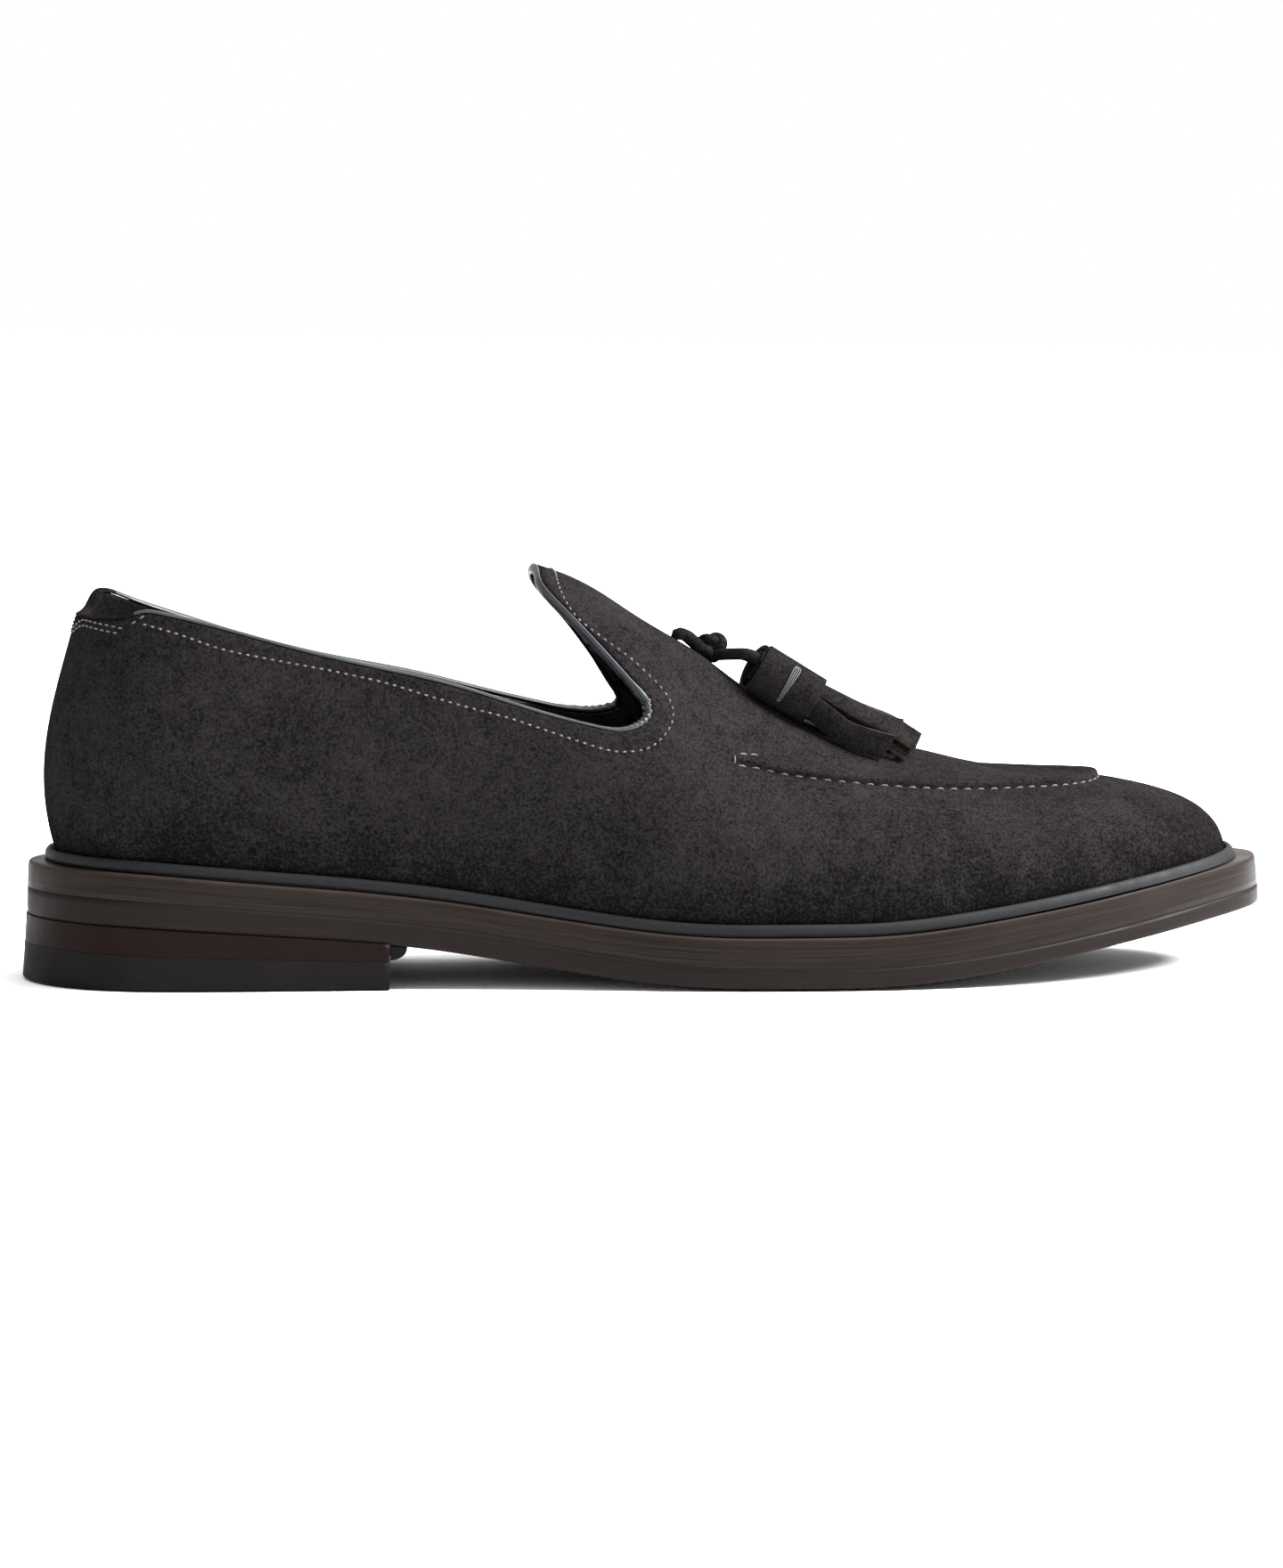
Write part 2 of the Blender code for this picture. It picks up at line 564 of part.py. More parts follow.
def make_upper():
    """Vamp, apron, quarters and back in one hollow wall, open at the collar and under the foot."""
    nets = [(grid, False) for grid in upper_net(False)] + [(grid, True) for grid in upper_net(True)]
    points, lips, faces = weld(nets)
    normals = net_normals(points, faces)
    outer = points + normals * lips[:, None]
    inner = points - normals * WALL
    floor = sole_top(inner[:, 0]) + GAP
    inner[:, 2] = np.maximum(inner[:, 2], floor)
    count = len(points)
    rim = open_edges(faces)
    shell = [list(f) for f in faces] + [[v + count for v in f[::-1]] for f in faces]
    shell += [[b, a, a + count, b + count] for a, b in rim.items()]
    new_object("upper", np.concatenate([outer, inner]), shell, SUEDE)
    tree = BVHTree.FromPolygons([tuple(map(float, p)) for p in outer], faces)
    loops = []
    while rim:
        start = next(iter(rim))
        loop = [start]
        step = rim.pop(start)
        while step != start:
            loop.append(step)
            step = rim.pop(step)
        loops.append(loop)
    collar = max(loops, key=lambda loop: outer[loop, 2].mean())
    return outer[collar], inner[collar], tree


def sweep(name, sections, paint, closed=False):
    """Solid from sections that all have the same points: a ring if closed, otherwise capped at both ends."""
    sections = np.asarray(sections)
    stops, sides = sections.shape[:2]
    faces = []
    for i in range(stops if closed else stops - 1):
        near, far = i * sides, ((i + 1) % stops) * sides
        for j in range(sides):
            faces.append([near + j, near + (j + 1) % sides, far + (j + 1) % sides, far + j])
    if not closed:
        faces.append(list(range(sides))[::-1])
        faces.append([(stops - 1) * sides + j for j in range(sides)])
    points = sections.reshape(-1, 3)
    centre = points.mean(axis=0)
    volume = sum(np.dot(points[f[0]] - centre, np.cross(points[a] - centre, points[b] - centre))
                 for f in faces for a, b in zip(f[1:-1], f[2:]))
    return new_object(name, points, [f[::-1] for f in faces] if volume < 0 else faces, paint)


def make_binding(outer, inner):
    """Leather piping along the collar's edge, from one face of the wall to the other."""
    run = unit(np.roll(outer, -1, axis=0) - np.roll(outer, 1, axis=0))
    across = outer - inner
    up = unit(np.cross(run, across))
    up *= np.sign((up[:, 2]).sum())
    sections = []
    for place, height in ((0.02, 0.0), (-0.02, 0.55), (0.22, 0.92), (0.5, 1.0), (0.78, 0.92),
                          (1.02, 0.55), (0.98, 0.0)):
        sections.append(outer - across * place + up * (GAP + height * BINDING_HEIGHT))
    return sweep("collar_binding", np.stack(sections, axis=1), BINDING_LEATHER, closed=True)


def make_rand():
    """Strip round the upper's foot, standing on the midsole's edge."""
    places = np.concatenate([np.arange(0, TIP_ROW, 0.5), LOOP_ROWS - np.arange(TIP_ROW, 0, -0.5)])
    (feather, run, _), (rail, _, _) = guides(places)
    outward = unit(np.stack([run[:, 1], -run[:, 0], 0 * run[:, 0]], axis=-1))
    up = np.array([0, 0, 1.0])
    height = np.linalg.norm(rail - feather, axis=1) * LOWER_FULLNESS
    foot = feather + outward * GAP * 2
    wall = lower_wall(places, RAND_HEIGHT / height) + outward * GAP * 2
    low = foot + outward * RAND_THICKNESS * 1.15
    low[:, 2] = np.maximum(sole_top(low[:, 0]), sole_top(foot[:, 0])) + GAP
    sections = [foot, wall, wall + outward * RAND_THICKNESS * 0.45 + up * RAND_ROUND * 0.3,
                wall + outward * (RAND_THICKNESS - RAND_ROUND * 0.3) - up * RAND_ROUND, low]
    return sweep("rand", np.stack(sections, axis=1), RAND_RUBBER, closed=True)


def make_slab(name, outer, inner, paint):
    """Solid between stacked levels. outer and inner are arrays of level, station and point, back to front."""
    levels, stations = outer.shape[:2]
    index, points = {}, []

    def number(point):
        key = tuple(np.round(point * 2e5).astype(int))
        if key not in index:
            index[key] = len(points)
            points.append(point)
        return index[key]

    left = [[number(outer[k, i]) for i in range(stations)] for k in range(levels)]
    right = [[number(inner[k, i]) for i in range(stations)] for k in range(levels)]
    faces = []
    for i in range(stations - 1):
        faces.append([left[0][i], right[0][i], right[0][i + 1], left[0][i + 1]])
        faces.append([left[-1][i + 1], right[-1][i + 1], right[-1][i], left[-1][i]])
        for k in range(levels - 1):
            faces.append([left[k][i], left[k][i + 1], left[k + 1][i + 1], left[k + 1][i]])
            faces.append([right[k][i + 1], right[k][i], right[k + 1][i], right[k + 1][i + 1]])
    for k in range(levels - 1):
        faces.append([right[k][0], left[k][0], left[k + 1][0], right[k + 1][0]])
        faces.append([left[k][-1], right[k][-1], right[k + 1][-1], left[k + 1][-1]])
    tidy = []
    for face in faces:
        face = [v for i, v in enumerate(face) if v != face[i - 1]]
        if len(set(face)) > 2:
            tidy.append(face)
    return new_object(name, points, tidy, paint)


def stations(end, count):
    """Rows from the back to a row, closer together where the outline turns."""
    spread = np.linspace(0, math.pi, count)
    return end * (0.8 * np.linspace(0, 1, count) + 0.2 * (1 - np.cos(spread)) / 2)


def edge_levels(places, levels):
    """Points of the sole's edge. Each level is an inset and a function from share to height."""
    plan, inward = outline_points(places)
    shares = share_of(plan[:, 0])
    grid = []
    for inset, height_of in levels:
        height = height_of(shares)
        under = sole_levels(shares)[0]
        spot = plan + inward * inset
        x = spot[:, 0] - sole_slope(shares) * (height - under)
        grid.append(np.stack([x, spot[:, 1], height], axis=-1))
    return np.stack(grid)


def make_sole():
    """Outsole and midsole: two layers between the curve underfoot and the curve of the insole."""
    rows = stations(LAST_OUTLINE_ROW, 43)
    layers = {
        "outsole": (OUTSOLE_RUBBER, [(EDGE_ROUND, lambda s: sole_levels(s)[0]),
                                     (0, lambda s: sole_levels(s)[0] + EDGE_ROUND),
                                     (0, lambda s: sole_levels(s)[1])]),
        "midsole": (MIDSOLE_LEATHER, [(0, lambda s: sole_levels(s)[1] + GAP),
                                      (0, lambda s: sole_levels(s)[2] - RIM_ROUND),
                                      (RIM_ROUND * 0.35, lambda s: sole_levels(s)[2] - RIM_ROUND * 0.3),
                                      (RIM_ROUND, lambda s: sole_levels(s)[2])]),
    }
    for name, (paint, levels) in layers.items():
        make_slab(name, edge_levels(rows, levels), edge_levels(2 * LAST_OUTLINE_ROW - rows, levels), paint)


def row_at(x, inner):
    """Row of the sole's outline at a place along the shoe, on one side."""
    rows = np.linspace(1, 14, 1301)
    plan = outline_points(2 * LAST_OUTLINE_ROW - rows if inner else rows)[0]
    return np.interp(x, plan[:, 0], rows)


def make_heel():
    """Stacked leather wedge, rubber top piece and, in front of them, a small cove under the waist."""
    breast = HEEL_LENGTH - HEEL_CENTRE
    outer_rows = stations(row_at(breast, False), 19)
    inner_rows = 2 * LAST_OUTLINE_ROW - stations(row_at(breast + BREAST_SLANT, True), 19)

    def seam(x):
        return TOP_PIECE_BACK + (TOP_PIECE_BREAST - TOP_PIECE_BACK) * (x + HEEL_CENTRE) / HEEL_LENGTH

    def underside(x):
        return sole_levels(share_of(x))[0] - GAP

    def side(rows, levels):
        plan, inward = outline_points(rows)
        grid = []
        for inset, height_of in levels:
            height = height_of(plan[:, 0])
            flare = HEEL_FLARE * (1 - height / HEEL_RISE)
            flare = flare * np.clip((HEEL_LENGTH / 2 - HEEL_CENTRE - plan[:, 0]) / HEEL_LENGTH * 2, 0, 1)
            spot = plan + inward * (inset - flare)[:, None]
            grid.append(np.concatenate([spot, height[:, None]], axis=1))
        return np.stack(grid)

    layers = {
        "heel_stack": (HEEL_LEATHER, [(0, lambda x: seam(x) + GAP), (0, underside)]),
        "top_piece": (TOP_PIECE_RUBBER, [(EDGE_ROUND, lambda x: 0 * x), (0, lambda x: 0 * x + EDGE_ROUND),
                                         (0, seam)]),
    }
    for name, (paint, levels) in layers.items():
        make_slab(name, side(outer_rows, levels), side(inner_rows, levels), paint)
    ends = []
    for rows, inset in ((outer_rows, COVE_INSET), (inner_rows, -COVE_INSET)):
        plan = outline_points(rows[-1:])[0][0]
        back = plan[0] + BREAST_SLANT * COVE_INSET / BALL_WIDTH + GAP
        low = underside(back) - COVE_HEIGHT
        turns = np.linspace(0, math.pi / 2, 7)
        x = back + COVE_LENGTH * np.sin(turns)
        z = low + (underside(back + COVE_LENGTH) - low) * (1 - np.cos(turns))
        ring = [(back, underside(back))] + list(zip(x, z))
        ends.append([(x, plan[1] + inset, z) for x, z in ring])
    sweep("heel_cove", ends, TOP_PIECE_RUBBER)


def make_insole():
    """Board and sock under the foot, inside the upper and on the midsole."""
    rows = stations(TIP_ROW, 41)
    grids = []
    for places in (rows, LOOP_ROWS - rows):
        feather, run, _ = guides(places)[0]
        inward = unit(np.stack([-run[:, 1], run[:, 0], 0 * run[:, 0]], axis=-1))
        spot = feather + inward * (WALL + 2 * GAP)
        floor = sole_top(spot[:, 0]) + GAP
        grids.append(np.stack([np.stack([spot[:, 0], spot[:, 1], floor + lift], axis=-1)
                               for lift in (0, INSOLE_THICKNESS)]))
    return make_slab("insole", grids[0], grids[1], INSOLE_LEATHER)


def on_vamp(tree, x, y, lift):
    """Point above the vamp that clears it by lift, square to the vamp."""
    hit, normal, _, _ = tree.ray_cast(Vector((x, y, 2 * INSTEP_RISE)), Vector((0, 0, -1)))
    return np.array([x, y, hit.z + (lift + GAP) / abs(normal.z)])


def laid(tree, ring):
    """A section lifted just so far that all of it clears the vamp."""
    short = [on_vamp(tree, x, y, GAP)[2] - z for x, y, z in ring]
    return ring + np.array([0, 0, max(0, *short)])


def round_sections(points, radii, sides):
    """Rings of points round a bent line, kept from twisting."""
    points = np.asarray(points, float)
    run = unit(np.gradient(points, axis=0))
    side = unit(np.cross(run, np.array([0, 1.0, 0])))
    other = np.cross(run, side)
    turns = np.linspace(0, 2 * math.pi, sides, endpoint=False)
    return [p + (np.cos(turns)[:, None] * a + np.sin(turns)[:, None] * b) * r
            for p, a, b, r in zip(points, side, other, radii)]


def bent_line(knots, count):
    """Evenly read smooth line through a few points."""
    knots = np.asarray(knots, float)
    places = np.concatenate([[0], np.cumsum(np.linalg.norm(np.diff(knots, axis=0), axis=1))])
    return open_spline(np.column_stack([places, knots]))(np.linspace(0, places[-1], count))


def fill_cavities(mesh):
    """Make a solid full: drop every closed skin but the largest."""
    net = bmesh.new()
    net.from_mesh(mesh)
    skins, seen = [], set()
    for seed in net.faces:
        if seed in seen:
            continue
        skin, waiting = [], [seed]
        seen.add(seed)
        while waiting:
            face = waiting.pop()
            skin.append(face)
            for other in (near for edge in face.edges for near in edge.link_faces if near not in seen):
                seen.add(other)
                waiting.append(other)
        skins.append(skin)
    largest = max(skins, key=lambda skin: sum(face.calc_area() for face in skin))
    dropped = [face for skin in skins if skin is not largest for face in skin]
    bmesh.ops.delete(net, geom=dropped, context="FACES")
    net.to_mesh(mesh)
    net.free()


def fuse(name, parts):
    """One solid from overlapping ones."""
    base, others = parts[0], parts[1:]
    for other in others:
        joined = base.modifiers.new(other.name, "BOOLEAN")
        joined.operation = "UNION"
        joined.solver = "EXACT"
        joined.object = other
    mesh = bpy.data.meshes.new_from_object(base.evaluated_get(bpy.context.evaluated_depsgraph_get()))
    mesh.name = name
    fill_cavities(mesh)
    for part in parts:
        bpy.data.objects.remove(part)
    made = bpy.data.objects.new(name, mesh)
    shoe.objects.link(made)
    return made


def tassel_frame(tree, rolled_x, rolled_y, tips_x, tips_y):
    """Start of a tassel's axis on the vamp, with its directions forwards, sideways and up."""
    half = BALL_WIDTH / 2
    start = on_vamp(tree, along(rolled_x), rolled_y * half, HEAD_RADIUS)
    tips = on_vamp(tree, along(tips_x), tips_y * half, TIPS_LIFT)
    forward = unit(tips - start)
    outward = unit(np.cross(forward, [0, 0, 1.0])) * (1 if rolled_y < 0 else -1)
    above = np.cross(outward, forward) * (1 if rolled_y < 0 else -1)
    return start, forward, outward, above


def make_tassel(tree, name, frame):
    """Rolled head in its band, and the strips that the roll is cut into, in one solid."""
    start, forward, outward, above = frame
    front = HEAD_RADIUS * HEAD_TAPER
    bevel = STRIP_THICKNESS / 2
    stops = [(0, HEAD_RADIUS - bevel), (bevel, HEAD_RADIUS), (HEAD_LENGTH - bevel / 2, front),
             (HEAD_LENGTH, front - bevel / 2)]
    turns = np.linspace(0, 2 * math.pi, 18, endpoint=False)
    circle = np.cos(turns)[:, None] * above + np.sin(turns)[:, None] * outward
    parts = [sweep(name + "_head", [start + forward * x + circle * r for x, r in stops], SUEDE)]
    across = np.linspace(-0.5, 0.5, 4)
    for number, (turn, tip_turn, depth, beside, over, length) in enumerate(STRIPS):
        root_radius = HEAD_RADIUS * depth
        width = min(STRIP_WIDTH, math.pi * root_radius / 2.1)
        rings = []
        for t in (0, 0.16, 0.36, 0.58, 0.8, 1.0):
            ease = t * t * (3 - 2 * t)
            angle = math.radians(turn + (tip_turn - turn) * ease)
            normal = above * math.cos(angle) + outward * math.sin(angle)
            wide = outward * math.cos(angle) - above * math.sin(angle)
            first = above * math.cos(math.radians(turn)) + outward * math.sin(math.radians(turn))
            centre = start + forward * (HEAD_LENGTH - STRIP_ROOT + (STRIP_ROOT + STRIP_LENGTH * length) * t)
            centre = centre + first * root_radius * (1 - ease)
            centre = centre + (outward * beside + above * over) * STRIP_LENGTH * ease
            curl = root_radius / max(1 - ease, 0.12)
            bend = across * (width + (STRIP_WIDTH - width) * ease) / curl
            arc = normal * (np.cos(bend) - 1)[:, None] * curl + wide * np.sin(bend)[:, None] * curl
            lie = normal * np.cos(bend)[:, None] + wide * np.sin(bend)[:, None]
            ring = np.concatenate([centre + arc + lie * STRIP_THICKNESS / 2,
                                   (centre + arc - lie * STRIP_THICKNESS / 2)[::-1]])
            rings.append(laid(tree, ring))
        parts.append(sweep(name + f"_strip_{number}", rings, SUEDE))
    return fuse(name, parts)


def make_thong(tree, frames):
    """Thong that comes out of the vamp, is knotted and runs on to both tassels."""
    lift = THONG_RADIUS
    hole = along(THONG_HOLE)
    knot_x = along(KNOT_PLACE)
    knot = on_vamp(tree, knot_x, 0, KNOT_RADIUS)
    rise = on_vamp(tree, hole, 0, 0)
    loop = bent_line([rise, rise + np.array([0.3, 0, 1.1]) * lift, on_vamp(tree, hole + 2 * lift, 0, lift * 1.1),
                      knot], 9)
    rings = [laid(tree, ring) for ring in round_sections(loop, [lift] * 9, 8)]
    parts = [sweep("thong_loop", rings, SUEDE)]
    turns = np.linspace(0, math.pi, 7)[1:-1]
    run = unit(knot - loop[-3])
    knot_line = [knot - run * KNOT_RADIUS * 0.8 * math.cos(turn) for turn in turns]
    knot_radii = [KNOT_RADIUS * math.sin(turn) ** 0.8 for turn in turns]
    parts.append(sweep("thong_knot", round_sections(knot_line, knot_radii, 10), SUEDE))
    for number, (start, forward, _, above) in enumerate(frames):
        end = start - forward * GAP * 2 + above * HEAD_RADIUS * 0.25
        before = end - forward * lift * 1.6
        low = knot - np.array([0, 0, 0.45]) * KNOT_RADIUS
        middle = (low + before) / 2 - np.array([0, 0, 0.1]) * lift
        leg = np.concatenate([bent_line([low, middle, before], 6)[:-1], [before, (before + end) / 2, end]])
        rings = [laid(tree, ring) for ring in round_sections(leg, [lift] * 8, 8)]
        parts.append(sweep(f"thong_leg_{number}", rings, SUEDE))
    return fuse("thong", parts)


outer_edge, inner_edge, vamp = make_upper()
make_binding(outer_edge, inner_edge)
make_rand()
make_sole()
make_heel()
make_insole()
tassel_frames = [tassel_frame(vamp, *place[1:]) for place in TASSELS]
for (tassel_name, *_), tassel in zip(TASSELS, tassel_frames):
    make_tassel(vamp, tassel_name, tassel)
make_thong(vamp, tassel_frames)
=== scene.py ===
"""Looks of a right tassel loafer in dark suede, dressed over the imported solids."""
import math

import bmesh
import bpy
import numpy as np
from mathutils import Matrix, Vector
from mathutils.bvhtree import BVHTree


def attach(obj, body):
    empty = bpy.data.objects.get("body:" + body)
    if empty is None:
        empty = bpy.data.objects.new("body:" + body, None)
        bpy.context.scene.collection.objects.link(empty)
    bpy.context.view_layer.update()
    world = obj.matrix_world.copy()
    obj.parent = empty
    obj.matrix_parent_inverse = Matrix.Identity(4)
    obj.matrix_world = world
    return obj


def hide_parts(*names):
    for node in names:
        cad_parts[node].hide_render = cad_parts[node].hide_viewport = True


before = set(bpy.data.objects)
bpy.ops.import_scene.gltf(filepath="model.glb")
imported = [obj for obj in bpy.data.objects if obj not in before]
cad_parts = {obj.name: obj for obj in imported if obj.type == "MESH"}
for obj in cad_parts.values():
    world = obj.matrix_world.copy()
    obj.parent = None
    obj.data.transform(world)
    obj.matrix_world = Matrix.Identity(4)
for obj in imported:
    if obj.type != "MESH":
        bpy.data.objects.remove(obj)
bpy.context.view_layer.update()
bpy.ops.object.select_all(action="DESELECT")

# Camera
# It stands on the shoe's outer side, ten degrees behind square and five above the floor, with a
# quarter of a degree of roll. A long lens keeps the perspective as flat as the photograph's.
TARGET = Vector((0.1105, 0, 0.0458))
AZIMUTH = math.radians(-10)
ELEVATION = math.radians(5)
ROLL = math.radians(0.25)
DISTANCE = 1.7
PICTURE_HEIGHT = 1760
PICTURE_CENTRE = (720, 880)
PIXELS_PER_METRE = 4540
SENSOR = 36

back = Vector((math.sin(AZIMUTH) * math.cos(ELEVATION), -math.cos(AZIMUTH) * math.cos(ELEVATION),
               math.sin(ELEVATION)))
level = Vector((math.cos(AZIMUTH), math.sin(AZIMUTH), 0))
rise = back.cross(level)
camera_right = level * math.cos(ROLL) + rise * math.sin(ROLL)
camera_up = rise * math.cos(ROLL) - level * math.sin(ROLL)
camera_place = TARGET + back * DISTANCE
camera_turn = Matrix((camera_right, camera_up, back)).transposed().to_4x4()
bpy.ops.object.camera_add()
camera = bpy.context.object
camera.name = "camera"
camera.matrix_world = Matrix.Translation(camera_place) @ camera_turn
camera.data.sensor_fit = "VERTICAL"
camera.data.sensor_height = SENSOR
camera.data.lens = SENSOR * DISTANCE * PIXELS_PER_METRE / PICTURE_HEIGHT
bpy.context.scene.camera = camera

# Upper
# One suede skin over a leather lining, closed round the last, open at the collar and underneath.
# The apron is folded up along its seam into a soft lip. The nap is brushed, so it lies in darker
# and lighter patches. Copied from the solid, merged and rounded, with a few creases set one by one.
SUEDE_LIGHT = "#1f1d1d"
SUEDE_DARK = "#090809"
HEEL_SUEDE_LIGHT = "#191717"
HEEL_SUEDE_DARK = "#0a090a"
NAP_SHEEN = "#a09690"
LINING = "#181a21"
PATCH_WIDTH = 0.017
HEEL_PATCH_WIDTH = 0.012
# A nap's real fibres are far thinner: they are drawn this coarse so that the picture can show them
FIBRE_WIDTH = 0.0007
FIBRE_DEPTH = 0.00022
CLUMP_WIDTH = FIBRE_WIDTH * 4
CLUMP_DEPTH = 0.0006
PORE_WIDTH = 0.0012
LINING_PORE_DEPTH = 0.00008
# How high over the sole's edge the suede is painted darker than above: painted shade down by the rand
FOOT_SHADE = 0.024
# Each crease: its place along and up, its turn in degrees, half its length and width, its depth
CREASES = (
    (0.078, 0.044, 28, 0.020, 0.0040, 0.00045), (0.052, 0.038, -16, 0.026, 0.0050, 0.00040),
    (0.118, 0.040, 52, 0.014, 0.0035, 0.00045), (0.020, 0.058, 8, 0.022, 0.0045, 0.00035),
    (0.150, 0.030, 74, 0.011, 0.0035, 0.00035),
)
CREASE_SWELL = 0.6
# The apron's seam: the least bend in degrees, where it starts, its first point, its lowest point,
# the step in degrees round its start, and how the lip above it is told from it
SEAM_BEND = 28
SEAM_START = 0.1235
SEAM_FIRST = 0.1285
SEAM_LOWEST = 0.03
SEAM_STEP = 3.0
LIP_NEAR = 0.004
LIP_RISE = 0.0015
# Skin is lining where it faces the shoe's long axis behind the throat, or where a wall stands
# farther off in front of it than the upper is thick. In the heel the lining is suede.
QUARTER_END = 0.085
AXIS_START = 0.01
AXIS_HEIGHT = 0.035
OPPOSITE_WALL = 0.006
OFF_SKIN = 0.00005
HEEL_GRIP_END = 0.004
FOOT_STEP = 0.006


def linear(code):
    """Linear colour of an sRGB hex value."""
    parts = [int(code[place:place + 2], 16) / 255 for place in (1, 3, 5)]
    return [part / 12.92 if part <= 0.04045 else ((part + 0.055) / 1.055) ** 2.4 for part in parts] + [1.0]


def add(material, kind, values=(), links=(), **settings):
    """Adds a node to a material with its settings, input values and links."""
    node = material.node_tree.nodes.new(kind)
    for name, value in settings.items():
        setattr(node, name, value)
    for name, value in dict(values).items():
        node.inputs[name].default_value = value
    for name, source in dict(links).items():
        material.node_tree.links.new(source, node.inputs[name])
    return node


def surface(name, code, roughness, **sockets):
    """A new material and its shader, with the values that are the same all over."""
    material = bpy.data.materials.new(name)
    material.use_nodes = True
    shader = material.node_tree.nodes["Principled BSDF"]
    shader.inputs["Base Color"].default_value = linear(code)
    shader.inputs["Roughness"].default_value = roughness
    for socket, value in sockets.items():
        shader.inputs[socket.replace("_", " ")].default_value = value
    return material, shader


def feed(material, shader, **sources):
    """Links what varies over a surface to the shader's sockets."""
    for socket, source in sources.items():
        material.node_tree.links.new(source, shader.inputs[socket.replace("_", " ")])


def suede_finish(name, light, dark, patch_width, foot=0):
    """Napped split leather: brushed patches and short fibres, with painted shade up to a height over its
    foot.
    """
    material, shader = surface(name, light, 1.0, Specular_IOR_Level=0.0, Sheen_Weight=0.01,
                               Sheen_Roughness=0.4, Sheen_Tint=linear(NAP_SHEEN))
    place = add(material, "ShaderNodeTexCoord").outputs["Object"]
    patches = add(material, "ShaderNodeTexNoise",
                  {"Scale": 1 / patch_width, "Detail": 3.0, "Roughness": 0.55, "Distortion": 0.6},
                  {"Vector": place})
    fibres = add(material, "ShaderNodeTexNoise",
                 {"Scale": 1 / FIBRE_WIDTH, "Detail": 3.0, "Roughness": 0.7}, {"Vector": place})
    clumps = add(material, "ShaderNodeTexNoise",
                 {"Scale": 1 / CLUMP_WIDTH, "Detail": 2.0, "Roughness": 0.6}, {"Vector": place})
    tones = [add(material, "ShaderNodeMapRange", {"From Min": -0.05, "From Max": 1.05},
                 {"Value": patches.outputs[0]}),
             add(material, "ShaderNodeMapRange",
                 {"From Min": 0.25, "From Max": 0.78, "To Min": -0.62, "To Max": 0.78},
                 {"Value": fibres.outputs[0]}),
             add(material, "ShaderNodeMapRange",
                 {"From Min": 0.3, "From Max": 0.7, "To Min": -0.14, "To Max": 0.16},
                 {"Value": clumps.outputs[0]})]
    # Painted shade: the suede is darker up to the given height over the sole's edge
    if foot:
        height = add(material, "ShaderNodeAttribute", attribute_name="foot_height").outputs["Fac"]
        tones.append(add(material, "ShaderNodeMapRange",
                         {"From Min": 0.001, "From Max": foot, "To Min": -0.42, "To Max": 0.0},
                         {"Value": height}, interpolation_type="SMOOTHSTEP"))
    together = tones[0]
    for tone in tones[1:]:
        together = add(material, "ShaderNodeMath", {}, {0: together.outputs[0], 1: tone.outputs[0]},
                       operation="ADD")
    together = add(material, "ShaderNodeClamp", {}, {0: together.outputs[0]})
    colour = add(material, "ShaderNodeMix", {6: linear(dark), 7: linear(light)},
                 {0: together.outputs[0]}, data_type="RGBA")
    bump = add(material, "ShaderNodeBump", {"Strength": 0.55, "Distance": FIBRE_DEPTH},
               {"Height": fibres.outputs[0]})
    bump = add(material, "ShaderNodeBump", {"Strength": 0.4, "Distance": CLUMP_DEPTH},
               {"Height": clumps.outputs[0], "Normal": bump.outputs[0]})
    feed(material, shader, Base_Color=colour.outputs[2], Normal=bump.outputs[0])
    return material


def leather_finish(name, code, roughness, grain_width, depth, **sockets):
    """Smooth finished leather: fine pores and creases under a thin coat."""
    material, shader = surface(name, code, roughness, **sockets)
    place = add(material, "ShaderNodeTexCoord").outputs["Object"]
    pores = add(material, "ShaderNodeTexVoronoi", {"Scale": 1 / grain_width}, {"Vector": place})
    folds = add(material, "ShaderNodeTexNoise", {"Scale": 0.25 / grain_width, "Detail": 4.0},
                {"Vector": place})
    tone = add(material, "ShaderNodeMapRange",
               {"From Min": 0.3, "From Max": 0.7, "To Min": 0.72, "To Max": 1.3},
               {"Value": folds.outputs[0]})
    shaded = add(material, "ShaderNodeVectorMath", {0: linear(code)[:3]}, {1: tone.outputs[0]},
                 operation="MULTIPLY")
    dull = add(material, "ShaderNodeMapRange",
               {"From Min": 0.3, "From Max": 0.7, "To Min": roughness - 0.08, "To Max": roughness + 0.12},
               {"Value": folds.outputs[0]})
    bump = add(material, "ShaderNodeBump", {"Strength": 0.5, "Distance": depth},
               {"Height": pores.outputs[0]})
    bump = add(material, "ShaderNodeBump", {"Strength": 0.4, "Distance": depth * 3},
               {"Height": folds.outputs[0], "Normal": bump.outputs[0]})
    feed(material, shader, Base_Color=shaded.outputs[0], Roughness=dull.outputs[0],
         Normal=bump.outputs[0])
    return material


def picked(piece):
    """Selects one piece alone, for the next operators."""
    bpy.ops.object.select_all(action="DESELECT")
    bpy.context.view_layer.objects.active = piece
    piece.select_set(True)


def taken_from(node, name):
    """A solid's mesh as a new piece, with its loose triangles merged and paired."""
    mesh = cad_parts[node].data.copy()
    mesh.name = name
    mesh.materials.clear()
    piece = bpy.data.objects.new(name, mesh)
    bpy.context.collection.objects.link(piece)
    picked(piece)
    bpy.ops.object.mode_set(mode="EDIT")
    bpy.ops.mesh.select_all(action="SELECT")
    bpy.ops.mesh.remove_doubles(threshold=0.000002)
    bpy.ops.mesh.tris_convert_to_quads(face_threshold=math.radians(35), shape_threshold=math.radians(60))
    bpy.ops.object.mode_set(mode="OBJECT")
    return piece


